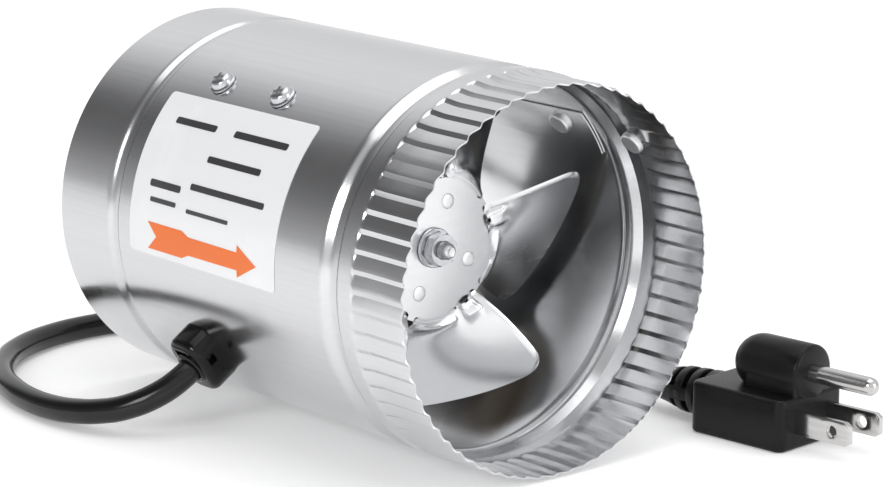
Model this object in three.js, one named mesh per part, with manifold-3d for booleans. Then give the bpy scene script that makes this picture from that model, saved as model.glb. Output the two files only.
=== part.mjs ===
// Inline duct fan for a 4 inch round duct: a beaded and crimped sheet-steel tube with a
// shaded-pole motor and a five-blade impeller inside, a mains cord and a grounded plug.
// Millimetres, +Z up. X is the fan's axis and points the way the air goes, to the crimped end.
// The origin is on the ground under the middle of the tube, which lies on its side.

import * as THREE from 'three';
import { mergeVertices } from 'three/addons/utils/BufferGeometryUtils.js';
import Module from 'manifold-3d';

const wasm = await Module();
wasm.setup();

// ---------------------------------------------------------------- driving dimensions

const gap = 0.3; // between pieces that touch on the real fan
const sides = 48; // flats round the tube

// tube
const tubeLength = 148;
const tubeRadius = 50.8;
const wall = 0.55;
const rearGroove = { start: 22, width: 6, depth: 1.1 };
const frontGroove = { start: 116, width: 8, depth: 1.4 };
const crimpLength = 19.4;
const crimpRadius = tubeRadius - 0.6; // at the crest of the crimps
const crimpDepth = 0.6;
const crimpCount = 63;
const crimpRise = 0.72; // share of a crimp taken by its slow side
const seamAngle = 35.5; // round the axis from +Y towards +Z, in degrees
const seamWidth = 15;
const seamRivets = 5;
const seamRivetStart = 14;
const seamRivetPitch = 29.35;

// label
const labelStart = 33.4;
const labelLength = 64.6;
const labelFrom = 134.6;
const labelTo = 185;
const labelThick = 0.15;
const labelGap = 0.1;

// motor, measured along the axis from the inlet end
const motorMiddle = 63;
const motorAngle = 128.2; // where its strap is screwed to the tube
const stackDepth = 20;
const stackWidth = 44;
const stackTop = 19;
const stackBottom = -36;
const windowTop = -19;
const legTop = -26;
const armWidth = 8.8;
const boreRadius = 12.5;
const airGap = 0.5;
const tieSpacing = 35; // between the two long screws
const tieRadius = 1.8;
const screwPitch = 26.2; // between the two screws through the tube
const screwRadius = 2;
const screwHeadRadius = 3.2;
const strapWidth = 18;
const strapThick = 1.2;
const strapLength = stackDepth + 16.2;
const strapSeat = 1.55; // from the tube's inner flats to the strap's outer face
const bracketThick = 1.5;
const bracketRise = 8.5;
const bracketWidth = 13;
const coilWall = 1;
const coilDepth = 4.2;
const shaftRadius = 2.5;
const shaftRear = 41;
const bearingRadius = 4.5;
const bearingLength = 7;
const bearingLip = 1.5;

// impeller
const bladeCount = 5;
const bladeAngle = -4.6; // middle of the first blade
const hubPlane = motorMiddle + stackDepth / 2 + 25; // middle of the sheet
const sheet = 0.9;
const hubRadius = 20;
const tipRadius = tubeRadius - 5.3;
const bladeRear = [-31, -26.5]; // edges of a blade at its root and its tip, from its middle
const bladeFront = [32, 27.5];
const bladeLevel = 6; // where the blade crosses the hub's plane
const bladePitch = 0.516; // millimetres along the axis for one degree at the tip
const bladeTwist = 0.75;
const rearCurve = 0.35; // the rear edge comes in quickly from its root
const bladeCorner = 5;
const reliefRadius = 2.3;
const rivetCircle = 12.6;
const rivetCount = 4;
const rivetAngle = 67.7;
const threadRadius = 2.2;
const threadEnd = hubPlane + 7.6;
const nutAcross = 8;
const nutHeight = 3.2;
const washerRadius = 5.3;
const washerThick = 0.9;
const collarRadius = 15.5;
const collarThick = 1.6;
const bossRadius = 6;
const bossClearance = 1.2; // from the front bearing

// cord, gland and plug
const cordRadius = 3.4;
const glandAlong = motorMiddle - 7;
const glandAngle = -145;
const glandHead = { length: 17, width: 13.5, height: 7 };
const glandNeck = 6.3;
const glandReach = 7.5; // inside the wall
const cordInside = 14;
const coilCentre = [-54, 98.4];
const coilMeanRadius = 40.5;
const coilHeight = 13.9;
const coilBand = 20.8;
const plugAngle = 6; // of the pins from +X towards +Y
const plugPlace = [93.4, 70.7]; // the plug's face, on the ground under its middle
const plugBody = { length: 31, width: 26, height: 14 };
const lobe = { radius: 7.5, length: 24, height: 19.4 };
const pinRadius = 2.4;
const pinLength = 20.6;
const pinRoot = 7;
const blade = { length: 17.5, width: 6.35, thick: 1.5, spacing: 12.7, hole: 1.6, holeAt: 11.7 };
const reliefLength = 20;
const reliefHeight = 7;

// ---------------------------------------------------------------- materials

function finish(color, roughness, metalness) {
  return new THREE.MeshStandardMaterial({ color, roughness, metalness });
}

const galvanised = finish(0xc8ccd0, 0.28, 1);
const zincPlated = finish(0xd2d4d6, 0.3, 1);
const paper = finish(0xf4f4f2, 0.5, 0);
const electricalSteel = finish(0x85898e, 0.5, 1);
const nylon = finish(0xe8e4d6, 0.5, 0);
const coilTape = finish(0xd8b23c, 0.55, 0);
const copper = finish(0xb8693a, 0.35, 1);
const bronze = finish(0xa88a52, 0.45, 1);
const castAluminium = finish(0xb9bcc0, 0.42, 1);
const sheetAluminium = finish(0xe2e4e6, 0.22, 1);
const groundSteel = finish(0xd6d8da, 0.18, 1);
const blackNylon = finish(0x0c0c0d, 0.28, 0);
const blackPvc = finish(0x0e0e0f, 0.32, 0);
const whitePvc = finish(0xe6e6e2, 0.45, 0);
const greenPvc = finish(0x2f7d43, 0.45, 0);
const nickel = finish(0xcfcdc6, 0.2, 1);

// ---------------------------------------------------------------- helpers

const toRadians = THREE.MathUtils.degToRad;
const { lerp } = THREE.MathUtils;
const innerRadius = tubeRadius - wall;

// Turns a shape's x, y and depth into the fan's Y, Z and X.
const alongAxis = new THREE.Matrix4().makeBasis(
  new THREE.Vector3(0, 1, 0),
  new THREE.Vector3(0, 0, 1),
  new THREE.Vector3(1, 0, 0),
);

// A closed three.js geometry as a solid that can be joined and cut.
function solid(geometry) {
  const bare = geometry.clone();
  bare.deleteAttribute('normal');
  bare.deleteAttribute('uv');
  const merged = mergeVertices(bare, 1e-4);
  const corners = merged.attributes.position.array;
  const faces = [];
  for (let i = 0; i < merged.index.count; i += 3) {
    const [a, b, c] = [0, 1, 2].map((k) => merged.index.getX(i + k));
    if (a !== b && b !== c && c !== a) faces.push(a, b, c);
  }
  return new wasm.Manifold(
    new wasm.Mesh({
      numProp: 3,
      vertProperties: new Float32Array(corners),
      triVerts: new Uint32Array(faces),
    }),
  );
}

// A solid back as a three.js geometry.
function geometryOf(shape) {
  const raw = shape.getMesh();
  const geometry = new THREE.BufferGeometry();
  geometry.setAttribute('position', new THREE.BufferAttribute(raw.vertProperties, 3));
  geometry.setIndex(new THREE.BufferAttribute(raw.triVerts, 1));
  return geometry;
}

// A round piece about the X axis, from [along, radius] points that run anticlockwise.
function turned(profile, segments, turn = 0) {
  const points = profile.map(([along, radius]) => new THREE.Vector2(radius, along));
  const geometry = new THREE.LatheGeometry(points, segments);
  return geometry.rotateZ(-Math.PI / 2).rotateX(turn);
}

// A ring or plain cylinder about the X axis.
function ring(from, to, outer, inner, segments, turn = 0) {
  const closed = inner > 0
    ? [[from, inner], [from, outer], [to, outer], [to, inner], [from, inner]]
    : [[from, 0], [from, outer], [to, outer], [to, 0]];
  return turned(closed, segments, turn);
}

// A flat outline in the fan's Y and Z, given depth along the X axis.
function slab(shape, from, to) {
  const options = { depth: to - from, bevelEnabled: false, curveSegments: 8 };
  return new THREE.ExtrudeGeometry(shape, options).applyMatrix4(alongAxis).translate(from, 0, 0);
}

function box(from, to) {
  const size = to.map((value, i) => value - from[i]);
  const middle = to.map((value, i) => (value + from[i]) / 2);
  return new THREE.BoxGeometry(...size).translate(...middle);
}

function outline(points) {
  return new THREE.Shape(points.map(([x, y]) => new THREE.Vector2(x, y)));
}

function roundHole(y, z, radius) {
  return new THREE.Path().absarc(y, z, radius, 0, Math.PI * 2, true);
}

// A tube of the given radius along a smooth curve through hand-chosen points.
function cable(points, radius, segments, steps) {
  const curve = new THREE.CatmullRomCurve3(points.map((p) => new THREE.Vector3(...p)), false, 'centripetal');
  const section = new THREE.Shape();
  for (let i = 0; i <= segments; i += 1) {
    const angle = (i * Math.PI * 2) / segments;
    const corner = [radius * Math.cos(angle), radius * Math.sin(angle)];
    if (i === 0) section.moveTo(...corner);
    else section.lineTo(...corner);
  }
  return new THREE.ExtrudeGeometry(section, { steps, bevelEnabled: false, extrudePath: curve });
}

function mesh(name, shape, material) {
  const geometry = shape.isBufferGeometry ? shape : geometryOf(shape);
  const piece = new THREE.Mesh(geometry, material);
  piece.name = name;
  return piece;
}

// Distance from the axis, at an angle in degrees, of a polygon whose flats lie at the given distance.
function flatRadius(angle, flat) {
  const pitch = 360 / sides;
  const off = angle - Math.round(angle / pitch) * pitch;
  return flat / Math.cos(toRadians(off));
}

// A strip that wraps round the tube's flats, between two angles and two distances from the axis.
function wrap(fromAngle, toAngle, inner, outer, start, end) {
  const pitch = 360 / sides;
  const angles = [fromAngle];
  for (let k = Math.ceil(fromAngle / pitch - 0.5); (k + 0.5) * pitch < toAngle; k += 1) {
    if ((k + 0.5) * pitch > fromAngle) angles.push((k + 0.5) * pitch);
  }
  angles.push(toAngle);
  const at = (angle, flat) => {
    const radius = flatRadius(angle, flat);
    return [radius * Math.cos(toRadians(angle)), radius * Math.sin(toRadians(angle))];
  };
  const outside = angles.map((angle) => at(angle, outer));
  const inside = angles.map((angle) => at(angle, inner)).reverse();
  return slab(outline([...outside, ...inside]), start, end);
}

// A group whose own +Z points away from the axis at an angle in degrees.
function facing(angle) {
  const group = new THREE.Group();
  group.rotation.x = toRadians(angle - 90);
  return group;
}

// The same turn for a geometry, which is made about the X axis and stood up along +Z first.
function radial(geometry, along, angle) {
  return geometry.rotateY(-Math.PI / 2).translate(along, 0, 0).rotateX(toRadians(angle - 90));
}

// ---------------------------------------------------------------- tube and what is fixed in it

const fan = new THREE.Group();
fan.position.set(-tubeLength / 2, 0, tubeRadius);

const rivetPlaces = Array.from({ length: seamRivets }, (_, i) => seamRivetStart + i * seamRivetPitch);
const screwPlaces = [motorMiddle - screwPitch / 2, motorMiddle + screwPitch / 2];
const crimpStart = tubeLength - crimpLength;

function groovePoints(groove, radius) {
  const { start, width, depth } = groove;
  return [
    [start, radius],
    [start + width / 2, radius - depth],
    [start + width, radius],
  ];
}

function tubeBody() {
  const shrink = 1 / Math.cos(Math.PI / sides);
  const root = 0.1; // how far the plain tube's end stands proud of the crimps on both faces
  const outside = [
    [0, tubeRadius],
    ...groovePoints(rearGroove, tubeRadius),
    ...groovePoints(frontGroove, tubeRadius),
    [crimpStart + 0.5, crimpRadius + root],
  ];
  const inside = outside.map(([along, radius]) => [along, radius - wall]).reverse();
  inside[0][1] = crimpRadius - crimpDepth - wall - root;
  const profile = [...outside, ...inside, outside[0]].map(([along, radius]) => [along, radius * shrink]);
  return turned(profile, sides, Math.PI / sides);
}

function crimpRing() {
  const pitch = (Math.PI * 2) / crimpCount;
  const around = (radius) => {
    const points = [];
    for (let i = 0; i < crimpCount; i += 1) {
      const low = i * pitch;
      const high = (i + crimpRise) * pitch;
      points.push([(radius - crimpDepth) * Math.cos(low), (radius - crimpDepth) * Math.sin(low)]);
      points.push([radius * Math.cos(high), radius * Math.sin(high)]);
    }
    return points;
  };
  const shape = outline(around(crimpRadius));
  shape.holes.push(new THREE.Path(around(crimpRadius - wall).map(([x, y]) => new THREE.Vector2(x, y))));
  return slab(shape, crimpStart, tubeLength);
}

function casing() {
  const lap = wrap(
    seamAngle - seamWidth * 0.6,
    seamAngle + seamWidth * 0.4,
    innerRadius - wall,
    innerRadius + wall / 2,
    rearGroove.start + rearGroove.width + 1,
    frontGroove.start - 1,
  );
  let shape = solid(tubeBody()).add(solid(crimpRing())).add(solid(lap));
  const drill = (radius, along, angle, segments) => {
    const bit = ring(innerRadius - 4, tubeRadius + 4, radius, 0, segments);
    shape = shape.subtract(solid(radial(bit, along, angle)));
  };
  rivetPlaces.forEach((along) => drill(1.6 + gap, along, seamAngle, 8));
  screwPlaces.forEach((along) => drill(screwRadius + gap, along, motorAngle, 12));
  drill(glandNeck + gap, glandAlong, glandAngle, 20);
  return shape;
}

fan.add(mesh('casing', casing(), galvanised));

const labelInner = tubeRadius + labelGap;
fan.add(mesh(
  'label',
  wrap(labelFrom, labelTo, labelInner, labelInner + labelThick, labelStart, labelStart + labelLength),
  paper,
));

// A rivet through the lapped seam, or through the single crimped wall at the outlet.
function seamRivet(along) {
  const crimped = along > crimpStart - 2;
  const head = (crimped ? crimpRadius : tubeRadius) + gap;
  const tail = (crimped ? crimpRadius - crimpDepth : innerRadius) - wall - gap;
  return turned([
    [tail - 1.6, 0],
    [tail - 1.6, 2.9],
    [tail, 2.9],
    [tail, 1.6],
    [head, 1.6],
    [head, 3.1],
    [head + 1, 1.6],
    [head + 1, 0],
  ], 10);
}

rivetPlaces.forEach((along, i) => {
  fan.add(mesh(`seam_rivet_${i + 1}`, radial(seamRivet(along), along, seamAngle), zincPlated));
});

// ---------------------------------------------------------------- motor

const motor = facing(motorAngle);
fan.add(motor);

const stackRear = motorMiddle - stackDepth / 2;
const stackFront = motorMiddle + stackDepth / 2;
const strapRear = motorMiddle - strapLength / 2;
const strapFront = motorMiddle + strapLength / 2;
const strapFace = innerRadius - strapSeat + gap;
const tieSide = tieSpacing / 2;
const earthPlace = [-12, 18]; // across and up, on the strap's rear leg
const earthRadius = 1.5;
const innerFlange = strapFace - strapThick;

function bracketScrew() {
  const head = tubeRadius + gap;
  const nutSeat = innerFlange - 5;
  return turned([
    [nutSeat, 0],
    [nutSeat, screwRadius],
    [head, screwRadius],
    [head, screwHeadRadius + 0.7],
    [head + 0.7, screwHeadRadius],
    [head + 1.8, screwHeadRadius - 0.5],
    [head + 2.4, screwHeadRadius - 1.8],
    [head + 2.4, 0],
  ], 12);
}

function hexagon(from, to, across, bore, segments = 12) {
  const shape = new THREE.Shape();
  const corner = across / 2 / Math.cos(Math.PI / 6);
  for (let i = 0; i < 6; i += 1) {
    const place = [corner * Math.cos((i * Math.PI) / 3), corner * Math.sin((i * Math.PI) / 3)];
    if (i === 0) shape.moveTo(...place);
    else shape.lineTo(...place);
  }
  const hole = [];
  for (let i = 0; i < segments; i += 1) {
    const angle = (-i * Math.PI * 2) / segments;
    hole.push(new THREE.Vector2(bore * Math.cos(angle), bore * Math.sin(angle)));
  }
  shape.holes.push(new THREE.Path(hole));
  return slab(shape, from, to);
}

['rear', 'front'].forEach((end, i) => {
  const along = screwPlaces[i];
  const nut = hexagon(innerFlange - gap - 3.2, innerFlange - gap, 7, screwRadius + gap);
  const stood = (geometry) => geometry.rotateY(-Math.PI / 2).translate(along, 0, 0);
  motor.add(mesh(`bracket_screw_${end}`, stood(bracketScrew()), zincPlated));
  motor.add(mesh(`bracket_nut_${end}`, stood(nut), zincPlated));
});

// A U of sheet steel: its base lies along the tube's wall and its two legs reach down to the long screws.
function motorStrap() {
  const arm = tieSide - 4;
  const low = -5;
  const leg = outline([
    [-strapWidth / 2, strapFace],
    [-strapWidth / 2, 36],
    [-tieSide - 4, 12],
    [-tieSide - 4, low],
    [-arm, low],
    [-arm, 10],
    [arm, 10],
    [arm, low],
    [tieSide + 4, low],
    [tieSide + 4, 12],
    [strapWidth / 2, 36],
    [strapWidth / 2, strapFace],
  ]);
  leg.holes.push(roundHole(-tieSide, 0, tieRadius + gap));
  leg.holes.push(roundHole(tieSide, 0, tieRadius + gap));
  const base = box([strapRear, -strapWidth / 2, innerFlange], [strapFront, strapWidth / 2, strapFace]);
  let shape = solid(base)
    .add(solid(slab(leg, strapRear, strapRear + strapThick)))
    .add(solid(slab(leg, strapFront - strapThick, strapFront)));
  screwPlaces.forEach((along) => {
    const bit = ring(innerFlange - 1, strapFace + 1, screwRadius + gap, 0, 12);
    shape = shape.subtract(solid(bit.rotateY(-Math.PI / 2).translate(along, 0, 0)));
  });
  const earthHole = ring(strapRear - 1, strapRear + strapThick + 1, earthRadius + gap, 0, 10);
  return shape.subtract(solid(earthHole.translate(0, ...earthPlace)));
}

motor.add(mesh('motor_strap', motorStrap(), zincPlated));

const slotTop = stackTop - 2;
const slotBottom = slotTop - 2.2;
const slotSide = 4.2;
const half = stackWidth / 2;
const ringThick = 1.6;

function statorCore() {
  const corner = 4;
  const shape = outline([
    [-half, stackBottom],
    [half, stackBottom],
    [half, stackTop - corner],
    [half - corner, stackTop],
    [corner - half, stackTop],
    [-half, stackTop - corner],
  ]);
  const arm = half - armWidth;
  shape.holes.push(new THREE.Path([
    new THREE.Vector2(-arm, windowTop),
    new THREE.Vector2(arm, windowTop),
    new THREE.Vector2(arm, legTop),
    new THREE.Vector2(-arm, legTop),
  ]));
  [-1, 1].forEach((side) => {
    shape.holes.push(roundHole(side * tieSide, 0, tieRadius + gap));
  });
  let core = solid(slab(shape, stackRear, stackFront));
  core = core.subtract(solid(ring(stackRear - 1, stackFront + 1, boreRadius, 0, 32)));
  [-1, 1].forEach((side) => {
    const edges = [side * slotSide, side * (slotSide + ringThick + 2 * gap)].sort((a, b) => a - b);
    const slot = box([stackRear - 1, edges[0], slotBottom], [stackFront + 1, edges[1], slotTop]);
    core = core.subtract(solid(slot));
  });
  return core;
}

motor.add(mesh('stator_core', statorCore(), electricalSteel));

// A loop of copper round one shoulder of the core, through its slot.
function shadingRing(side) {
  const near = slotSide + gap;
  const far = half + gap + ringThick;
  const low = slotBottom + gap;
  const high = slotTop - gap;
  const sort = (a, b) => (side > 0 ? [a, b] : [-b, -a]);
  const [outerFrom, outerTo] = sort(near, far);
  const [innerFrom, innerTo] = sort(near + ringThick, far - ringThick);
  const outer = box(
    [stackRear - gap - ringThick, outerFrom, low],
    [stackFront + gap + ringThick, outerTo, high],
  );
  const inner = box([stackRear - gap, innerFrom, low - 1], [stackFront + gap, innerTo, high + 1]);
  return solid(outer).subtract(solid(inner));
}

motor.add(mesh('shading_ring_left', shadingRing(-1), copper));
motor.add(mesh('shading_ring_right', shadingRing(1), copper));

const legMiddle = (legTop + stackBottom) / 2;
const legHeight = legTop - stackBottom;
const bobbinSide = half - armWidth - gap - 0.4;

// A rectangular sleeve round the core's lower leg, given by how far its faces stand off the leg.
function legSleeve(inner, outer, from, to) {
  const halfDepth = stackDepth / 2;
  const halfHeight = legHeight / 2;
  const block = (grow, reach) => solid(box(
    [motorMiddle - halfDepth - grow, from - reach, legMiddle - halfHeight - grow],
    [motorMiddle + halfDepth + grow, to + reach, legMiddle + halfHeight + grow],
  ));
  return block(outer, 0).subtract(block(inner, 1));
}

const bobbinFace = gap + coilWall;
const windingOuter = bobbinFace + gap + coilDepth;
motor.add(mesh(
  'coil_bobbin',
  legSleeve(gap, bobbinFace, -bobbinSide, bobbinSide)
    .add(legSleeve(gap, windingOuter + 0.4, -bobbinSide, -bobbinSide + coilWall))
    .add(legSleeve(gap, windingOuter + 0.4, bobbinSide - coilWall, bobbinSide)),
  nylon,
));
const windingSide = bobbinSide - coilWall - gap;
const winding = legSleeve(bobbinFace + gap, windingOuter, -windingSide, windingSide);
motor.add(mesh('coil_winding', winding, coilTape));

// A bearing bracket: two feet on the stack and a bridge that holds the bearing on the axis.
function bearingBracket(face, direction) {
  const foot = tieSide + 4;
  const knee = tieSide - 4.8;
  const top = 8;
  const at = (rise) => face + direction * rise;
  const points = [
    [-foot, 0],
    [-knee - 0.6, 0],
    [-top - 0.6, bracketRise],
    [top + 0.6, bracketRise],
    [knee + 0.6, 0],
    [foot, 0],
    [foot, bracketThick],
    [knee + 1.2, bracketThick],
    [top + 1.2, bracketRise + bracketThick],
    [-top - 1.2, bracketRise + bracketThick],
    [-knee - 1.2, bracketThick],
    [-foot, bracketThick],
  ];
  const flat = outline(points);
  const options = { depth: bracketWidth, bevelEnabled: false };
  const geometry = new THREE.ExtrudeGeometry(flat, options);
  // the outline's width runs along Y, its rise along the axis and its depth along Z
  const basis = new THREE.Matrix4().makeBasis(
    new THREE.Vector3(0, 1, 0),
    new THREE.Vector3(direction, 0, 0),
    new THREE.Vector3(0, 0, -direction),
  );
  geometry.applyMatrix4(basis).translate(face, 0, (direction * bracketWidth) / 2);
  const ends = [at(-1), at(bracketRise + bracketThick + 1)].sort((a, b) => a - b);
  let shape = solid(geometry).subtract(solid(ring(...ends, bearingRadius + gap, 0, 16)));
  [-1, 1].forEach((side) => {
    const bit = ring(...ends, tieRadius + gap, 0, 12).translate(0, side * tieSide, 0);
    shape = shape.subtract(solid(bit));
  });
  return shape;
}

const bearingSpan = { rear: -1, front: 1 };
Object.entries(bearingSpan).forEach(([end, direction]) => {
  const face = motorMiddle + (direction * stackDepth) / 2;
  motor.add(mesh(`bearing_bracket_${end}`, bearingBracket(face, direction), castAluminium));
  const middle = face + direction * (bracketRise + bracketThick / 2);
  const flange = middle + direction * (bracketThick / 2 + gap);
  const sleeve = solid(ring(
    middle - bearingLength / 2,
    middle + bearingLength / 2,
    bearingRadius,
    shaftRadius + gap,
    16,
  ));
  const lip = [flange, flange + direction * bearingLip].sort((a, b) => a - b);
  const cap = solid(ring(...lip, bearingRadius + 2, shaftRadius + gap, 16));
  motor.add(mesh(`bearing_${end}`, sleeve.add(cap), bronze));
});

const legInside = strapLength / 2 - strapThick - stackDepth / 2 - bracketThick;
['left', 'right'].forEach((name, i) => {
  const side = (i * 2 - 1) * tieSide;
  const tie = turned([
    [strapRear - 2.6, 0],
    [strapRear - 2.6, 2.6],
    [strapRear - 1.8, 3.3],
    [strapRear, 3.3],
    [strapRear, tieRadius],
    [strapFront + 4.4, tieRadius],
    [strapFront + 4.4, 0],
  ], 12);
  motor.add(mesh(`tie_screw_${name}`, tie.translate(0, side, 0), zincPlated));
  const nut = hexagon(strapFront, strapFront + 3, 6.5, tieRadius + gap);
  motor.add(mesh(`tie_nut_${name}`, nut.translate(0, side, 0), zincPlated));
  const rear = ring(strapRear + strapThick, strapRear + strapThick + legInside, 3.2, tieRadius + gap, 12);
  motor.add(mesh(`spacer_rear_${name}`, rear.translate(0, side, 0), zincPlated));
  const front = ring(strapFront - strapThick - legInside, strapFront - strapThick, 3.2, tieRadius + gap, 12);
  motor.add(mesh(`spacer_front_${name}`, front.translate(0, side, 0), zincPlated));
});

// ---------------------------------------------------------------- what turns

const rotorRadius = boreRadius - airGap;
const endRing = 3;
const rotorHalf = stackDepth / 2;
const bearingInner = rotorHalf + bracketRise + bracketThick / 2 - bearingLength / 2;

function rotor() {
  const bore = shaftRadius + gap;
  return turned([
    [motorMiddle - rotorHalf - endRing, bore],
    [motorMiddle - rotorHalf - endRing, rotorRadius - 2],
    [motorMiddle - rotorHalf, rotorRadius - 2],
    [motorMiddle - rotorHalf, rotorRadius],
    [motorMiddle + rotorHalf, rotorRadius],
    [motorMiddle + rotorHalf, rotorRadius - 2],
    [motorMiddle + rotorHalf + endRing, rotorRadius - 2],
    [motorMiddle + rotorHalf + endRing, bore],
    [motorMiddle - rotorHalf - endRing, bore],
  ], 32);
}

fan.add(mesh('rotor', rotor(), castAluminium));

const hubRear = hubPlane - sheet / 2;
const hubFront = hubPlane + sheet / 2;
const collarRear = hubRear - collarThick;
const bossRear = motorMiddle + rotorHalf + bracketRise + bracketThick + gap + bearingLip + bossClearance;

function shaft() {
  return turned([
    [shaftRear, 0],
    [shaftRear, shaftRadius - 0.5],
    [shaftRear + 0.5, shaftRadius],
    [collarRear, shaftRadius],
    [collarRear, threadRadius],
    [threadEnd - 0.6, threadRadius],
    [threadEnd, threadRadius - 0.6],
    [threadEnd, 0],
  ], 16);
}

fan.add(mesh('shaft', shaft(), groundSteel));

['rear', 'front'].forEach((end, i) => {
  const direction = i * 2 - 1;
  const near = motorMiddle + direction * (rotorHalf + endRing + gap);
  const far = motorMiddle + direction * (bearingInner - gap);
  const ends = [near, far].sort((a, b) => a - b);
  fan.add(mesh(`thrust_washer_${end}`, ring(...ends, 4.6, shaftRadius + gap, 16), nylon));
});

// Places a point of a blade: its distance from the axis, its angle and how far it stands off the sheet.
function bladePoint(radius, angle, off) {
  const climb = (r, a) => {
    const reach = Math.max(0, (r - hubRadius) / (tipRadius - hubRadius));
    return bladePitch * (a - bladeLevel) * reach ** bladeTwist;
  };
  const place = (r, a) => {
    const turn = toRadians(bladeAngle + a);
    return new THREE.Vector3(hubPlane + climb(r, a), r * Math.cos(turn), r * Math.sin(turn));
  };
  const here = place(radius, angle);
  const outward = place(radius + 0.05, angle).sub(here);
  const round = place(radius, angle + 0.05).sub(here);
  const normal = outward.cross(round).normalize();
  return here.addScaledVector(normal, off);
}

// One blade as a bent plate: a flat grid whose points are moved to their places.
function bladePlate() {
  const rows = [hubRadius - 1.5, 21.5, 25, 31, 38, 42, 44.4, tipRadius];
  const columns = 5;
  const plate = new THREE.BoxGeometry(rows.length - 1, columns, 1, rows.length - 1, columns, 1);
  const position = plate.attributes.position;
  for (let i = 0; i < position.count; i += 1) {
    const row = Math.round(position.getX(i) + (rows.length - 1) / 2);
    const share = (position.getY(i) + columns / 2) / columns;
    const radius = rows[row];
    const reach = (radius - hubRadius) / (tipRadius - hubRadius);
    const past = Math.max(0, radius - (tipRadius - bladeCorner));
    const cut = bladeCorner - Math.sqrt(bladeCorner ** 2 - past ** 2 * 0.98);
    const trim = THREE.MathUtils.radToDeg(cut / radius);
    const rear = lerp(bladeRear[0], bladeRear[1], Math.max(0, reach) ** rearCurve) + trim;
    const front = lerp(bladeFront[0], bladeFront[1], Math.max(0, reach)) - trim;
    const spot = bladePoint(radius, rear + share * (front - rear), position.getZ(i) * sheet);
    position.setXYZ(i, spot.x, spot.y, spot.z);
  }
  return plate;
}

function impeller() {
  let shape = solid(ring(hubRear, hubFront, hubRadius, threadRadius + gap, 30));
  for (let i = 0; i < bladeCount; i += 1) {
    const turn = (i * Math.PI * 2) / bladeCount;
    shape = shape.add(solid(bladePlate().rotateX(turn)));
    const at = toRadians(bladeAngle + bladeRear[0]) + turn;
    const bit = ring(hubPlane - 4, hubPlane + 4, reliefRadius, 0, 12);
    shape = shape.subtract(solid(bit.translate(0, hubRadius * Math.cos(at), hubRadius * Math.sin(at))));
  }
  for (let i = 0; i < rivetCount; i += 1) {
    const bit = ring(hubPlane - 2, hubPlane + 2, 1.2 + gap, 0, 8);
    shape = shape.subtract(solid(onRivetCircle(bit, i)));
  }
  return shape;
}

function onRivetCircle(geometry, i) {
  const angle = toRadians(rivetAngle) + (i * Math.PI * 2) / rivetCount;
  return geometry.translate(0, rivetCircle * Math.cos(angle), rivetCircle * Math.sin(angle));
}

fan.add(mesh('impeller', impeller(), sheetAluminium));

function collar() {
  const bore = shaftRadius + gap;
  let shape = solid(turned([
    [bossRear, bore],
    [bossRear, bossRadius],
    [collarRear, bossRadius],
    [collarRear, collarRadius],
    [hubRear - gap, collarRadius],
    [hubRear - gap, bore],
    [bossRear, bore],
  ], 24));
  for (let i = 0; i < rivetCount; i += 1) {
    const bit = ring(collarRear - 1, hubRear + 1, 1.2 + gap, 0, 8);
    shape = shape.subtract(solid(onRivetCircle(bit, i)));
  }
  return shape;
}

fan.add(mesh('hub_collar', collar(), castAluminium));

for (let i = 0; i < rivetCount; i += 1) {
  const rivet = turned([
    [collarRear - gap - 0.8, 0],
    [collarRear - gap - 0.8, 2],
    [collarRear - gap, 2],
    [collarRear - gap, 1.2],
    [hubFront + gap, 1.2],
    [hubFront + gap, 1.9],
    [hubFront + gap + 0.4, 1.4],
    [hubFront + gap + 0.4, 0],
  ], 12);
  fan.add(mesh(`hub_rivet_${i + 1}`, onRivetCircle(rivet, i), zincPlated));
}

fan.add(mesh(
  'impeller_washer',
  ring(hubFront + gap, hubFront + gap + washerThick, washerRadius, threadRadius + gap, 24),
  zincPlated,
));
const nutSeat = hubFront + 2 * gap + washerThick;
const hubNut = hexagon(nutSeat, nutSeat + nutHeight, nutAcross, threadRadius + gap);
fan.add(mesh('impeller_nut', hubNut, zincPlated));

// ---------------------------------------------------------------- gland and the cord inside the tube

const gland = facing(glandAngle);
fan.add(gland);

function oval(length, width, segments) {
  const shape = new THREE.Shape();
  const radius = width / 2;
  const straight = (length - width) / 2;
  for (let i = 0; i <= segments; i += 1) {
    const angle = (i * Math.PI) / segments;
    const point = [radius * Math.cos(angle), straight + radius * Math.sin(angle)];
    if (i === 0) shape.moveTo(...point);
    else shape.lineTo(...point);
  }
  for (let i = 0; i <= segments; i += 1) {
    const angle = Math.PI + (i * Math.PI) / segments;
    shape.lineTo(radius * Math.cos(angle), -straight + radius * Math.sin(angle));
  }
  return shape;
}

const glandSeat = tubeRadius + gap;
const glandTop = glandSeat + glandHead.height;
const lockWidth = 5;
const lockFrom = cordRadius + gap + 0.8;

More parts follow.
